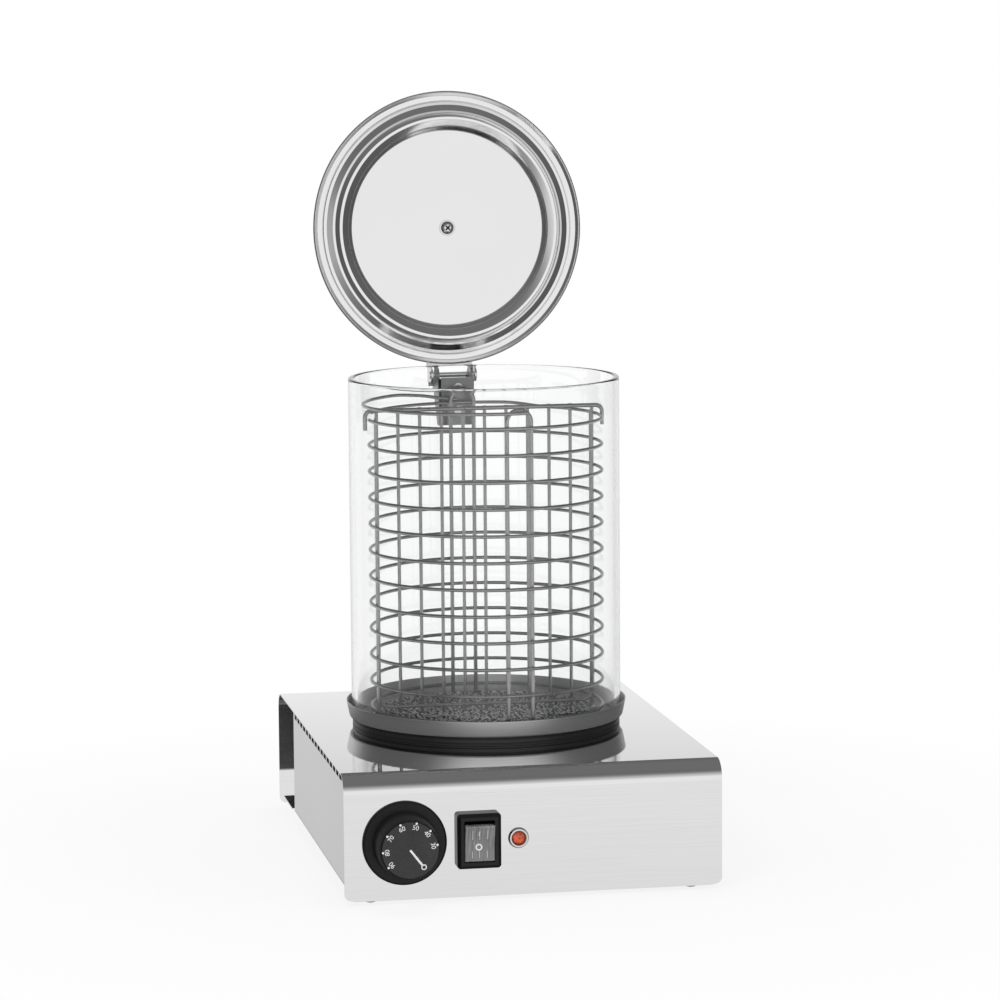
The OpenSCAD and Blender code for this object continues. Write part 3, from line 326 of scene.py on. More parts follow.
FINISH = {
    "cover": brushed_sheet("cover_steel", 0.84, 0.035, (16.0, 2600.0, 2600.0), depth=0.0000006, cloud=0.01),
    "panel": brushed_sheet("panel_steel", 0.78, 0.24, (2600.0, 16.0, 2600.0)),
    "chassis": brushed_sheet("chassis_steel", 0.62, 0.34, (40.0, 1200.0, 1200.0)),
    "bright": bright_metal("bright_steel", 0.72, 0.12),
    # Dark steel for the rear wall: painted shade, as the wall stands in the chassis's shadow
    "inner": brushed_sheet("rear_wall_painted_shade_steel", 0.24, 0.5, (40.0, 1200.0, 1200.0)),
    "hinge": bright_metal("hinge_steel", 0.26, 0.32, marks=90.0),
    # Dark steel for the inside of the pan's well: painted shade, where the sieve keeps the light out
    "well": bright_metal("well_painted_shade_steel", 0.22, 0.55, marks=250.0, wear=0.2, tint=0.3),
    "lid": bright_metal("lid_steel", 0.86, 0.12, marks=12.0, wear=0.02, tint=0.02),
    "wire": bright_metal("wire_steel", 0.35, 0.30, marks=500.0, wear=0.2),
    "screw": bright_metal("screw_steel", 0.72, 0.2, marks=300.0),
    "sieve": woven_steel("sieve_steel_painted_glints_and_shade"),
    "rubber": grained_plastic("black_rubber", (0.024, 0.024, 0.024), 0.36, grain=700.0, depth=0.00001),
    "black": grained_plastic("black_plastic", (0.014, 0.014, 0.015), 0.5),
    # The dial's black is deeper than the face's: the plastic's own black, deepened as painted shade on the
    # knob's side wall
    "dial": grained_plastic("dial_black_with_painted_shade", (0.010, 0.010, 0.010), 0.42, grain=1300.0, depth=0.00004,
                            shine=0.35),
    "dial_face": grained_plastic("dial_face_plastic", (0.042, 0.042, 0.043), 0.5, grain=800.0, depth=0.0005,
                                 tint=0.7),
    "gloss_black": grained_plastic("switch_plastic", (0.008, 0.008, 0.008), 0.3, depth=0.00001,
                                   shine=0.3),
    # Near-black for painted shade in the lid screw's recess and painted shadow in the gap round its head
    "recess": grained_plastic("painted_shade_black", (0.01, 0.01, 0.01), 0.7, shine=0.1),
    "foot": grained_plastic("foot_plastic", (0.74, 0.74, 0.72), 0.35, grain=300.0),
    "white": grained_plastic("white_plastic", (0.80, 0.80, 0.77), 0.4, grain=400.0),
    "print": grained_plastic("white_marks", (0.86, 0.86, 0.85), 0.5, grain=900.0, depth=0.000002),
    "element": bright_metal("element_sheath", 0.3, 0.5, marks=200.0),
    "aluminium": bright_metal("plain_aluminium", 0.75, 0.35, marks=90.0),
    "glass": clear_glass("clear_glass"),
    "smoky": smoky_plastic("smoky_plastic"),
    "lamp_red": lamp_red("lamp_red"),
    "lamp_core": lamp_core("lamp_core"),
    "lamp_back": grained_plastic("lamp_back", (0.16, 0.012, 0.008), 0.4),
    "pale_smoky": grained_plastic("pale_smoky", (0.5, 0.5, 0.51), 0.3),
    "brass": plain_brass("earth_brass"),
}

NODE_FINISH = {
    "cover": ["housing_cover"],
    "panel": ["side_panel_left", "side_panel_right"],
    "chassis": ["base_plate", "bulb_clips", "element_clamp"],
    "inner": ["rear_wall"],
    "bright": ["lid_arm", "lamp_bezel"],
    "hinge": ["hinge_bracket", "hinge_inner_plate"],
    "wire": ["basket_rings", "basket_low_ring", "basket_hairpins", "basket_posts", "divider_top_bar",
             "divider_frame", "divider_bars"],
    "screw": ["foot_studs", "foot_nuts", "base_screws", "pan_studs", "pan_nuts", "element_stud",
              "element_nut", "thermostat_screws", "thermostat_bulb", "dial_shaft", "hinge_screws",
              "hinge_nuts", "hinge_pin", "stop_pin", "knob_screw", "knob_washer"],
    "rubber": ["pan_gasket", "hinge_pads", "hinge_bushes"],
    "black": ["cable_gland", "gland_nut", "safety_cutout", "lid_knob"],
    "gloss_black": ["switch_body"],
    "dial": ["dial_plate", "dial_knob"],
    "foot": ["feet"],
    "white": ["foot_spacers", "terminal_block", "lamp_nut", "thermostat_body"],
    "element": ["heating_element"],
    "aluminium": ["heat_spreader"],
    "glass": ["glass_cylinder"],
    "smoky": ["switch_rocker"],
    "lamp_red": ["lamp_lens"],
    "brass": ["earth_stud"],
    "sieve": ["sieve_plate"],
    "lid": ["lid_shell"],
}


def middle(node):
    low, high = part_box(node)
    return (low + high) / 2


def dress(piece, finish):
    piece.data.materials.clear()
    piece.data.materials.append(FINISH[finish])
    return piece


def smooth_shading(piece, angle=35.0):
    piece.data.shade_smooth()
    piece.data.set_sharp_from_angle(angle=math.radians(angle))
    return piece


for finish, nodes in NODE_FINISH.items():
    for name in nodes:
        smooth_shading(dress(frame["nodes"][name], finish))
FINISH["spun"] = spun_steel("spun_steel", 0.92, 0.42, tuple(middle("pan_gasket")))


# Shapes

def make_piece(name, points, faces, finish, body, sharp=35.0):
    mesh = bpy.data.meshes.new(name)
    mesh.from_pydata([tuple(p) for p in points], [], faces)
    mesh.validate()
    piece = bpy.data.objects.new(name, mesh)
    bpy.context.scene.collection.objects.link(piece)
    dress(piece, finish)
    smooth_shading(piece, sharp)
    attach(piece, body)
    return piece


def rounded(points, radii, steps=5):
    """A closed outline with its corners rounded, each by its own radius."""
    out = []
    count = len(points)
    for i, (corner, radius) in enumerate(zip(points, radii)):
        here = Vector(corner)
        before = Vector(points[i - 1]) - here
        after = Vector(points[(i + 1) % count]) - here
        if radius <= 0:
            out.append(tuple(here))
            continue
        half = before.angle(after) / 2
        back = min(radius / math.tan(half), 0.48 * before.length, 0.48 * after.length)
        start = here + before.normalized() * back
        end = here + after.normalized() * back
        for k in range(steps + 1):
            t = k / steps
            out.append(tuple(start.lerp(here, t).lerp(here.lerp(end, t), t)))
    return out


def revolve(outline, count, place, closed=True):
    """Points and faces of an outline of (radius, height) turned round the Z axis of place."""
    points = []
    for i in range(count):
        turn = 2 * math.pi * i / count
        for radius, height in outline:
            points.append(place @ Vector((radius * math.cos(turn), radius * math.sin(turn), height)))
    n = len(outline)
    faces = []
    for i in range(count):
        a, b = i * n, ((i + 1) % count) * n
        for k in range(n if closed else n - 1):
            m = (k + 1) % n
            faces.append((a + k, b + k, b + m, a + m))
    return points, faces


def tube(path, radius):
    """Points and faces of a round tube along a path, with flat ends."""
    points, faces = [], []
    sides = 14
    normal = Vector((0, 0, 1))
    for i, here in enumerate(path):
        ahead = Vector(path[min(i + 1, len(path) - 1)]) - Vector(path[max(i - 1, 0)])
        ahead.normalize()
        normal = (normal - ahead * normal.dot(ahead)).normalized()
        across = ahead.cross(normal)
        for k in range(sides):
            turn = 2 * math.pi * k / sides
            points.append(Vector(here) + radius * (math.cos(turn) * normal + math.sin(turn) * across))
    for i in range(len(path) - 1):
        for k in range(sides):
            a, b = i * sides + k, i * sides + (k + 1) % sides
            faces.append((a, b, b + sides, a + sides))
    faces.append(tuple(range(sides))[::-1])
    faces.append(tuple(range(len(points) - sides, len(points))))
    return points, faces


def join_meshes(parts):
    points, faces = [], []
    for some_points, some_faces in parts:
        shift = len(points)
        points.extend(some_points)
        faces.extend(tuple(i + shift for i in face) for face in some_faces)
    return points, faces


def moved(part, place):
    points, faces = part
    return [place @ Vector(p) for p in points], faces


# Places taken from the frame

glass_low, glass_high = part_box("glass_cylinder")
glass_axis = Vector(((glass_low.x + glass_high.x) / 2, middle("pan_gasket").y, 0))
glass_radius = (glass_high.y - glass_low.y) / 2
rim_z = glass_high.z
pan_floor = glass_low.z
front_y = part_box("housing_cover")[0].y
hinge = next(j for j in frame["joints"] if j["name"] == "lid_hinge")
pin = Vector(hinge["pos_m"])
glass_turn = math.atan2(-hinge["axis"][1], -hinge["axis"][0])
lid_open = math.radians(-hinge["range_deg"][0])
pin_reach = (pin - glass_axis).xy.length

at_glass = Matrix.Translation(glass_axis)
turned = at_glass @ Matrix.Rotation(glass_turn, 4, "Z")
at_lid = (turned @ Matrix.Translation((0, pin_reach, pin.z)) @ Matrix.Rotation(-lid_open, 4, "X")
          @ Matrix.Translation((0, -pin_reach, rim_z - pin.z)))


# Pan

def water_pan():
    low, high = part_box("water_pan")
    lip_top = high.z
    lip_r = (high.x - low.x) / 2
    foot_r = lip_r - PAN_FLARE
    sheet = PAN_SHEET
    well_r = WELL_R
    well_z = low.z
    floor = pan_floor
    outline = [
        (0, well_z), (well_r, well_z), (well_r, floor - sheet), (foot_r, floor - sheet),
        (lip_r, lip_top), (lip_r - sheet, lip_top), (foot_r - sheet, floor),
        (well_r - sheet, floor), (well_r - sheet, well_z + sheet), (0, well_z + sheet),
    ]
    radii = [0, 5 * MM, 1.0 * MM, 2.0 * MM, 0.45 * MM, 0.45 * MM, 1.2 * MM, 1.2 * MM, 4 * MM, 0]
    points, faces = revolve(rounded(outline, radii), PAN_SIDES, at_glass, closed=False)
    piece = make_piece("pan_spun", points, faces, "spun", "housing")
    # The well's inward faces below the floor take the dark steel: painted shade under the sieve
    piece.data.materials.append(FINISH["well"])
    for face in piece.data.polygons:
        out = (face.center - at_glass.translation).to_2d()
        inward = face.normal.z - face.normal.to_2d().dot(out.normalized())
        if inward > 0 and out.length < well_r - 0.5 * sheet and face.center.z < floor - 1.5 * MM:
            face.material_index = 1
    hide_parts("water_pan")


def gasket_ring():
    low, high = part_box("pan_gasket")
    outer = (high.x - low.x) / 2
    inner = outer - GASKET_WIDTH
    side = [(0, 0.9), (0.6, 1.1), (0.6, 1.7), (0, 2.0)]
    grooves = [(outer - deep * MM, low.z + up * MM) for deep, up in side]
    grooves += [(outer - deep * MM, high.z - up * MM) for deep, up in reversed(side)]
    outline = [(inner, low.z), (outer, low.z)] + grooves + [(outer, high.z), (inner, high.z)]
    radii = [0.5 * MM, 0.3 * MM] + [0.15 * MM] * len(grooves) + [0.4 * MM, 0.5 * MM]
    points, faces = revolve(rounded(outline, radii, 3), GASKET_SIDES, at_glass)
    piece = make_piece("gasket_ring", points, faces, "rubber", "housing")
    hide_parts("pan_gasket")


def sieve_mesh():
    """Expanded metal: rows of diamond openings between tilted strands."""
    low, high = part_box("sieve_plate")
    radius = (high.x - low.x) / 2
    rim_r = radius - SIEVE_RIM
    mesh_r = rim_r + 0.2 * MM
    half_w, half_h = 1.5 * MM, 3.1 * MM
    strand = 0.62 * MM
    thick = high.z - low.z
    step_x, step_y = 2 * (half_w + strand), half_h + strand
    cols = int(radius / step_x) + 1
    rows = int(radius / step_y) + 1
    parts = []
    for j in range(-rows, rows + 1):
        for i in range(-cols, cols + 1):
            x = (i + (0.5 if j % 2 else 0.0)) * step_x
            y = j * step_y
            if math.hypot(x, y) <= mesh_r:
                parts.append(diamond_cell(x, y, low.z, thick, half_w, half_h, strand))
    rim = rounded([(rim_r, low.z), (radius, low.z), (radius, high.z), (rim_r, high.z)], [0.2 * MM] * 4, 2)
    points, faces = join_meshes([moved(join_meshes(parts), at_glass), revolve(rim, 128, at_glass)])
    piece = make_piece("sieve_mesh", points, faces, "sieve", "housing", sharp=20.0)
    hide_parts("sieve_plate")


def diamond_cell(x, y, z, thick, half_w, half_h, strand):
    """A closed diamond frame whose front strand lies lower than its rear one."""
    outer_w, outer_h = half_w + strand, half_h + strand
    tilt, top = 0.6 * thick, 0.4 * thick
    points, faces = [], []
    for w, h in ((outer_w, outer_h), (half_w, half_h)):
        for level in (0, 1):
            for dx, dy in ((w, 0), (0, h), (-w, 0), (0, -h)):
                lift = tilt * (0.5 + 0.5 * dy / outer_h)
                points.append((x + dx, y + dy, z + lift + (top if level else 0)))
    for k in range(4):
        m = (k + 1) % 4
        faces.append((k, m, 4 + m, 4 + k))
        faces.append((8 + m, 8 + k, 12 + k, 12 + m))
        faces.append((4 + k, 4 + m, 12 + m, 12 + k))
        faces.append((m, k, 8 + k, 8 + m))
    return points, faces


# Glass and lid

def glass_tube():
    bore = glass_radius - GLASS_WALL
    foot, above_foot, below_rim = glass_low.z, glass_low.z + GLASS_LAND, rim_z - GLASS_LAND
    outline = [(bore, foot), (glass_radius, foot), (glass_radius, above_foot), (glass_radius, below_rim),
               (glass_radius, rim_z), (bore, rim_z), (bore, below_rim), (bore, above_foot)]
    radii = [0.6 * MM, 0.6 * MM, 0, 0, 1.6 * MM, 1.6 * MM, 0, 0]
    points, faces = revolve(rounded(outline, radii, 6), LARGE_SIDES, turned)
    piece = make_piece("glass_tube", points, faces, "glass", "glass", sharp=60.0)
    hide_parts("glass_cylinder")


def lid_pressing():
    """The lid as pressed sheet, drawn closed: (radius, height above the glass rim, corner radius) in mm."""
    under = [
        (2.6, 0.3, 0), (74.6, 0.3, 1.4), (77.4, -4.4, 3.0), (82.6, -7.0, 1.0), (84.8, -7.0, 0.8),
        (87.6, -3.6, 0.8), (89.4, -3.3, 0.8), (93.8, -0.9, 0.6), (96.0, -0.7, 0.4), (97.0, 0.3, 0.4),
        (100.8, 0.3, 0.8), (103.2, -1.6, 1.0), (103.2, -3.1, 0.2),
    ]
    upper = [
        (104.3, -2.0, 0.3), (104.3, 0.2, 1.8), (102.4, 1.3, 1.4), (96.6, 1.3, 1.0), (94.8, 0.4, 2.0),
        (88.0, -2.6, 2.0), (85.6, -6.0, 1.0), (82.9, -6.0, 1.5), (78.0, -3.6, 3.0), (75.2, 1.3, 1.4),
        (2.6, 1.3, 0),
    ]
    outline = [(r * MM, z * MM) for r, z, _ in under + upper]
    radii = [c * MM for _, _, c in under + upper]
    points, faces = revolve(rounded(outline, radii, 6), LARGE_SIDES, at_lid)
    piece = make_piece("lid_pressing", points, faces, "lid", "lid", sharp=50.0)
    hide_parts("lid_shell")


def lid_grip():
    """The black knob on the outside of the lid: (radius, height, corner radius) in millimetres."""
    table = [(0, 1.3, 0), (12, 1.3, 0.8), (11.2, 4, 4), (8.4, 9, 8), (9.2, 14, 7), (15, 17.5, 8),
             (19, 21.5, 4), (18.4, 25, 4), (11, 27.3, 10), (0, 27.3, 0)]
    outline = rounded([(r * MM, z * MM) for r, z, _ in table], [c * MM for _, _, c in table], 6)
    points, faces = revolve(outline, 72, at_lid, closed=False)
    piece = make_piece("lid_grip", points, faces, "black", "lid", sharp=60.0)
    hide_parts("lid_knob")


# Basket

def top_turns():
    """The two open upper turns, as smooth tubes on the same routes as their solid."""
    low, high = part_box("basket_rings")
    centre = (low + high) / 2
    radius = (high.x - low.x) / 2 - WIRE_R
    level = high.z - WIRE_R + RING_PITCH
    low_turn = [(-540, 0, 0), (-310, 0, 0), (-293, 2.5, 0), (-217, 2.5, 0), (-200, 2.25, 0)]
    loose_turn = [(-266, 5.1, 0), (-261, 5.1, 0.1), (-249, 8.6, 0.4), (-232, 11, 0.6), (-180, 10.7, 1),
                  (-80, 11, 0.3)]
    parts = []
    for table in (low_turn, loose_turn):
        start, finish = table[0][0], table[-1][0]
        steps = int((finish - start) / 1.5)
        path = []
        for i in range(steps + 1):
            angle = start + (finish - start) * i / steps
            turn = math.radians(angle)
            r = radius + 0.1 * MM + TURN_PLAY * eased(angle, [(a, spring) for a, _, spring in table])
            rise = MM * eased(angle, [(a, up) for a, up, _ in table])
            path.append((centre.x + r * math.cos(turn), centre.y + r * math.sin(turn), level + rise))
        parts.append(tube(path, WIRE_R))
    points, faces = join_meshes(parts)
    piece = make_piece("top_turn_wire", points, faces, "wire", "basket")
    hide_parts("basket_top_turn")


def eased(x, table):
    """A value between a table's points, with soft bends at them."""
    shifts = (-4.0, -2.0, 0.0, 2.0, 4.0)
    return sum(between(x + shift, table) for shift in shifts) / len(shifts)


def between(x, table):
    """A value on the straight lines between a table's points."""
    if x <= table[0][0]:
        return table[0][1]
    for (x0, y0), (x1, y1) in zip(table, table[1:]):
        if x <= x1:
            return y0 + (y1 - y0) * (x - x0) / (x1 - x0)
    return table[-1][1]


# Controls

def at_panel(node, out=0.0):
    """Local X to the right, Y up and Z out of the front panel, at the middle of a node."""
    centre = middle(node)
    return Matrix.Translation((centre.x, front_y - out, centre.z)) @ Matrix.Rotation(math.pi / 2, 4, "X")


def dial_number(number, size, place):
    """A number as thin letters of its own, riding on the dial."""
    name = f"dial_number_{number}"
    curve = bpy.data.curves.new(name, "FONT")
    curve.body = str(number)
    curve.size = size
    curve.extrude = LETTER_THICK
    curve.align_x = "CENTER"
    curve.align_y = "CENTER"
    source = bpy.data.objects.new(name, curve)
    bpy.context.scene.collection.objects.link(source)
    bpy.context.view_layer.update()
    mesh = bpy.data.meshes.new_from_object(source.evaluated_get(bpy.context.evaluated_depsgraph_get()))
    bpy.data.objects.remove(source)
    mesh.transform(place)
    piece = bpy.data.objects.new(name, mesh)
    bpy.context.scene.collection.objects.link(piece)
    dress(piece, "print")
    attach(piece, "dial")


def disc(radius, thick):
    outline = [(0, 0), (radius, 0), (radius, thick), (0, thick)]
    return revolve(outline, DISC_SIDES, Matrix.Identity(4), closed=False)


def ring(outer, inner, thick):
    outline = [(inner, 0), (outer, 0), (outer, thick), (inner, thick)]
    return revolve(outline, RING_SIDES, Matrix.Identity(4))


def bar(x0, y0, x1, y1, width, thick):
    """A flat bar between two points, lying on Z = 0."""
    start, end = Vector((x0, y0, 0)), Vector((x1, y1, 0))
    along = (end - start).normalized()
    side = Vector((-along.y, along.x, 0)) * (width / 2)
    up = Vector((0, 0, thick))
    base = [start - side, end - side, end + side, start + side]
    points = base + [p + up for p in base]
    faces = [(3, 2, 1, 0), (4, 5, 6, 7)] + [(k, (k + 1) % 4, 4 + (k + 1) % 4, 4 + k) for k in range(4)]
    return points, faces


def dial_marks():
    face = front_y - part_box("dial_knob")[0].y
    place = at_panel("dial_knob", face + 0.02 * MM)
    marks = []
    for number, angle in DIAL_SCALE:
        turn = Matrix.Rotation(math.radians(angle - 90), 4, "Z")
        dial_number(number, NUMBER_SIZE, place @ turn @ Matrix.Translation((0, NUMBER_REACH, 0)))
        marks.append(moved(disc(0.8 * MM, MARK_THICK), turn @ Matrix.Translation((0, DOT_REACH, 0))))
    turn = Matrix.Rotation(math.radians(POINTER_ANGLE), 4, "Z")
    marks.append(moved(bar(-0.3 * MM, 0, 13.4 * MM, 0, 1.5 * MM, MARK_THICK), turn))
    marks.append(moved(ring(2.0 * MM, 1.2 * MM, MARK_THICK), turn @ Matrix.Translation((15.3 * MM, 0, 0))))
    points, faces = moved(join_meshes(marks), place)
    make_piece("dial_marks", points, faces, "print", "dial")


def prism(outline, half_width):
    """A closed outline of (y, z) drawn out along X, both ways."""
    count = len(outline)
    points = [Vector((side * half_width, y, z)) for side in (-1, 1) for y, z in outline]
    faces = [(k, count + k, count + (k + 1) % count, (k + 1) % count) for k in range(count)]
    faces += [tuple(range(count)), tuple(range(2 * count - 1, count - 1, -1))]
    return points, faces


def rocker_key():
    """The rocker with its finger ribs and its two marks."""
    low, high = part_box("switch_rocker")
    half = 13 * MM
    half_w = (high.x - low.x) / 2 - 1.5 * MM
    centre = 8.3 * MM
    crest = centre + half * math.tan(HALF_THROW)
    place = at_panel("switch_body") @ Matrix.Rotation(HALF_THROW, 4, "X")
    outline = [(-half, crest), (0, centre), (half, crest), (half - 1 * MM, 2 * MM),
               (4 * MM, -4 * MM), (-4 * MM, -4 * MM), (1 * MM - half, 2 * MM)]
    body = prism(rounded(outline, [0.9 * MM, 0, 0.9 * MM, 0.5 * MM, 0, 0, 0.5 * MM]), half_w)
    trunnion = moved(disc(1.5 * MM, 2 * half_w + 3 * MM),
                     Matrix.Translation((-half_w - 1.5 * MM, 0, 0)) @ Matrix.Rotation(math.pi / 2, 4, "Y"))
    upper = Matrix.Translation((0, 0, centre)) @ Matrix.Rotation(HALF_THROW, 4, "X")
    lower = Matrix.Translation((0, 0, centre)) @ Matrix.Rotation(-HALF_THROW, 4, "X")
    ribs = []
    for x in (-5.4, -0.4, 5.1):
        ribs.append(moved(bar(x * MM, 3.2 * MM, x * MM, 10.2 * MM, 0.7 * MM, 0.5 * MM), upper))
        ribs.append(moved(bar(x * MM, -10.2 * MM, x * MM, -5.4 * MM, 0.7 * MM, 0.5 * MM), lower))
    points, faces = moved(join_meshes(ribs), place)
    make_piece("rocker_ribs", points, faces, "pale_smoky", "rocker")
    points, faces = moved(join_meshes([body, trunnion]), place)
    piece = make_piece("rocker_key", points, faces, "smoky", "rocker", sharp=25.0)
    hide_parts("switch_rocker")
    on_mark = bar(-1.0 * MM, 6.4 * MM, -1.0 * MM, 9.6 * MM, 0.5 * MM, MARK_THICK)
    off_mark = ring(2.45 * MM, 1.45 * MM, MARK_THICK)
    marks = [moved(on_mark, upper @ Matrix.Translation((0, 0, 0.7 * MM))),
             moved(off_mark, lower @ Matrix.Translation((-0.7 * MM, -2.6 * MM, 0)))]
    points, faces = moved(join_meshes(marks), place)
    make_piece("rocker_marks", points, faces, "print", "rocker")


def fluted_grip():
    """The dial's knob with fine ribs round its side and a plain face."""
    low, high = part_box("dial_knob")
    foot_r = (high.x - low.x) / 2
    face_r = foot_r - 2.2 * MM
    out = front_y - low.y
    foot = front_y - high.y
    count, flutes = 360, 60
    place = at_panel("dial_knob")
    outline = [(0, foot), (foot_r, foot), (foot_r, foot + 1.2 * MM), (face_r + 0.3 * MM, out - 1.5 * MM),
               (face_r - 0.2 * MM, out - 0.7 * MM), (face_r - 1.0 * MM, out)]
    points, faces = [], []
    for i in range(count):
        turn = 2 * math.pi * i / count
        dent = 0.35 * MM * (0.5 - 0.5 * math.cos(flutes * turn))
        for k, (r, z) in enumerate(outline):
            reach = r - dent if k in (3, 4) else r
            points.append(place @ Vector((reach * math.cos(turn), reach * math.sin(turn), z)))
    n = len(outline)
    for i in range(count):
        a, b = i * n, ((i + 1) % count) * n
        faces.extend((a + k, b + k, b + k + 1, a + k + 1) for k in range(n - 1))
    # The knob's side takes the deeper dial black as painted shade; its face disc takes the lighter face
    # black
    piece = make_piece("dial_grip", points, faces, "dial", "dial", sharp=30.0)
    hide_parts("dial_knob")
    edge = face_r - 1.0 * MM
    outline = [(0, out + 0.02 * MM), (edge, out + 0.02 * MM), (edge, out - 0.3 * MM)]
    points, faces = revolve(outline, 120, place, closed=False)
    make_piece("dial_face", points, faces, "dial_face", "dial", sharp=30.0)


def lamp_jewel():
    """A clear red dome over a faceted core."""
    low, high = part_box("lamp_lens")
    radius = (high.x - low.x) / 2
    top = front_y - low.y
    place = at_panel("lamp_lens")
    crown, steps = 1.8 * MM, 8
    dome = [(0, -3 * MM), (radius, -3 * MM), (radius, top - crown)]
    for k in range(1, steps + 1):
        turn = math.radians(k * 90 / steps)
        dome.append((radius * math.cos(turn) if k < steps else 0, top - crown + crown * math.sin(turn)))
    points, faces = revolve(dome, 64, place, closed=False)
    piece = make_piece("lamp_dome", points, faces, "lamp_red", "housing", sharp=60.0)
    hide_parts("lamp_lens")
    back = [(0, -2.9 * MM), (radius - 0.2 * MM, -2.9 * MM), (radius - 0.2 * MM, 0.2 * MM), (0, 0.2 * MM)]
    points, faces = revolve(back, 32, place, closed=False)
    make_piece("lamp_back", points, faces, "lamp_back", "housing")
    r = 0.66 * radius
    core = [(0, 0), (r, 0), (r, 0.9 * MM), (0.6 * r, 1.6 * MM), (0.5 * r, 1.0 * MM), (0, 2.4 * MM)]
    points, faces = revolve(core, 10, place, closed=False)
    make_piece("lamp_facets", points, faces, "lamp_core", "housing", sharp=1.0)


def lid_screw():
    """The knob's screw from below: a round-edged head seen against its washer, with a near-black cross as
    painted shade for its cross recess and a near-black ring as painted shadow in the gap round it.
    """
    base = -0.5 * MM
    head = rounded([(0, base), (4.2 * MM, base), (4.2 * MM, base - 1.4 * MM), (2.6 * MM, base - 2.3 * MM),
                    (0, base - 2.4 * MM)], [0, 0, 1.0 * MM, 0.8 * MM, 0])
    shank = [(0, 14 * MM), (2.5 * MM, 14 * MM), (2.5 * MM, base)]
    points, faces = revolve(shank + head[1:], 48, at_lid, closed=False)
    piece = make_piece("lid_screw", points, faces, "screw", "lid", sharp=50.0)
    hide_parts("knob_screw")
    # A near-black cross on the head's face: painted shade for the cross recess
    arms = []
    for turn in (45, 135):
        arm = bar(-2.3 * MM, 0, 2.3 * MM, 0, 1.15 * MM, 0.5 * MM)
        arms.append(moved(arm, Matrix.Rotation(math.radians(turn), 4, "Z")))
    points, faces = moved(join_meshes(arms), at_lid @ Matrix.Translation((0, 0, base - 2.44 * MM)))
    make_piece("lid_screw_recess_painted_shade", points, faces, "recess", "lid")
    # A near-black ring round the head: painted shadow in the gap at the washer
    gap = ring(4.75 * MM, 4.1 * MM, 0.3 * MM)
    points, faces = moved(gap, at_lid @ Matrix.Translation((0, 0, base - 0.35 * MM)))
    make_piece("lid_screw_gap_painted_shadow", points, faces, "recess", "lid")


water_pan()
gasket_ring()
sieve_mesh()
glass_tube()
lid_pressing()
lid_grip()
top_turns()
fluted_grip()
dial_marks()
rocker_key()
lamp_jewel()
lid_screw()


# Camera, light and floor

def camera():
    """The photograph's own view, solved against the object's sizes."""
    data = bpy.data.cameras.new("view")
    data.lens = LENS
    data.sensor_width = 36.0
    data.clip_end = 50.0
    obj = bpy.data.objects.new("view", data)
    bpy.context.scene.collection.objects.link(obj)
    right = Vector((math.cos(TURN), math.sin(TURN), 0))
    ahead = Vector((-math.sin(TURN) * math.cos(TILT), math.cos(TURN) * math.cos(TILT), math.sin(TILT)))
    up = right.cross(ahead)
    side = math.cos(ROLL) * right + math.sin(ROLL) * up
    over = math.cos(ROLL) * up - math.sin(ROLL) * right
    spot = Vector(SPOT_FROM_GLASS) + Vector((0, glass_axis.y, 0))
    obj.matrix_world = Matrix((
        (side.x, over.x, -ahead.x, spot.x), (side.y, over.y, -ahead.y, spot.y),
        (side.z, over.z, -ahead.z, spot.z), (0, 0, 0, 1)))
    bpy.context.scene.camera = obj


def lamp(name, place, aim, size, power):
    data = bpy.data.lights.new(name, "AREA")
    data.shape = "RECTANGLE"
    data.size, data.size_y = size
    data.energy = power
    obj = bpy.data.objects.new(name, data)
    bpy.context.scene.collection.objects.link(obj)
    obj.location = place
    obj.rotation_euler = (Vector(aim) - Vector(place)).to_track_quat("-Z", "Y").to_euler()
    obj.visible_glossy = False
    obj.visible_transmission = False


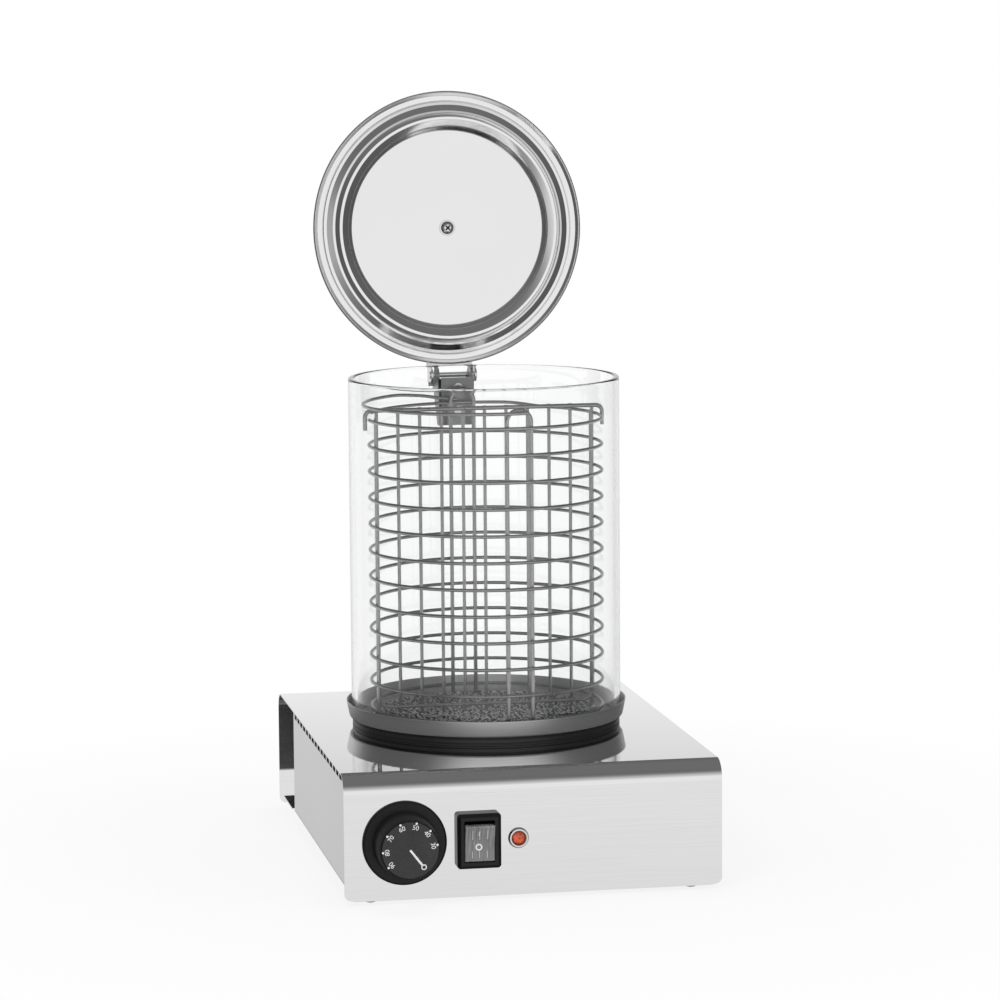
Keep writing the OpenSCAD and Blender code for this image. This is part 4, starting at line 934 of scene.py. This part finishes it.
def studio_world():
    """A light tent: pale in front and behind, darker above and beside, and white where it is looked at."""
    world = bpy.data.worlds.new("studio")
    world.use_nodes = True
    bpy.context.scene.world = world
    paint = Paint(world.node_tree)
    background = world.node_tree.nodes["Background"]
    way = paint.node("ShaderNodeTexCoord", output="Generated")
    _, y, z = paint.parts(way)
    rise = z * 0.5 + 0.5
    behind = paint.ramp(rise, [
        (0.0, 0.1), (0.375, 0.62), (0.44, 0.8), (0.5, 0.95), (0.585, 0.95), (0.635, 0.14)])
    ahead = paint.ramp(rise, [
        (0.0, 0.1), (0.25, 0.42), (0.4, 0.88), (0.44, 0.93), (0.59, 0.93), (0.675, 0.62), (0.8, 0.34),
        (1.0, 0.16)])
    beside = paint.ramp(rise, [(0.0, 0.12), (0.5, 0.10), (0.75, 0.13), (0.92, 0.17), (1.0, 0.17)])
    front = paint.ramp(y * -0.5 + 0.5, [(0.82, 0.0), (0.93, 1.0)])
    rear = paint.ramp(y * 0.5 + 0.5, [(0.86, 0.0), (0.93, 1.0)])
    tent = colour_mix(paint, front, colour_mix(paint, rear, beside, behind), ahead)
    path = paint.node("ShaderNodeLightPath").socket.node
    seen = Link(paint, path.outputs["Is Camera Ray"])
    through = Link(paint, path.outputs["Is Transmission Ray"])
    bounces = Link(paint, path.outputs["Glossy Depth"])
    plain = seen.highest(through * (1 - bounces.above(0.5)))
    paint.feed(background.inputs["Color"], colour_mix(paint, plain, tent, (1.0, 1.0, 1.0)))
    background.inputs["Strength"].default_value = 1.0


def studio_floor():
    """White where it is looked at, but for the object's faint shadow close round it."""
    half = 6.0
    mesh = bpy.data.meshes.new("floor")
    corners = [(-half, -half, 0), (half, -half, 0), (half, half, 0), (-half, half, 0)]
    mesh.from_pydata(corners, [], [(0, 1, 2, 3)])
    floor = bpy.data.objects.new("floor", mesh)
    bpy.context.scene.collection.objects.link(floor)
    material = bpy.data.materials.new("floor")
    material.use_nodes = True
    paint = Paint(material.node_tree)
    shader = material.node_tree.nodes["Principled BSDF"]
    paint.feed(shader.inputs["Base Color"], (0.85, 0.85, 0.85))
    shader.inputs["Roughness"].default_value = 0.9
    path = paint.node("ShaderNodeLightPath").socket.node
    seen = Link(paint, path.outputs["Is Camera Ray"])
    through = Link(paint, path.outputs["Is Transmission Ray"])
    x, y = paint.parts(paint.place(), 2)
    shadowed = paint.ramp((x * x + y * y) ** 0.5, [(0.22, 0.13), (0.6, 0.0)])
    shown = seen.highest(through) * (1 - shadowed)
    glow = paint.node("ShaderNodeEmission", sockets={"Color": (1.0, 1.0, 1.0), "Strength": 1.0})
    mixed = paint.node("ShaderNodeMixShader", sockets={0: shown, 1: Link(paint, shader.outputs[0]), 2: glow})
    paint.feed(material.node_tree.nodes["Material Output"].inputs["Surface"], mixed)
    floor.visible_glossy = False
    mesh.materials.append(material)


camera()
lamp("key", (-1.6, -2.0, 2.2), (0, 0, 0.25), (1.4, 1.4), 42)
lamp("fill", (1.9, -1.6, 1.4), (0, 0, 0.25), (1.2, 1.2), 20)
lamp("top", (0.0, 0.3, 2.6), (0, 0, 0.2), (1.2, 1.2), 22)
studio_world()
studio_floor()
bpy.context.scene.view_settings.view_transform = "Standard"
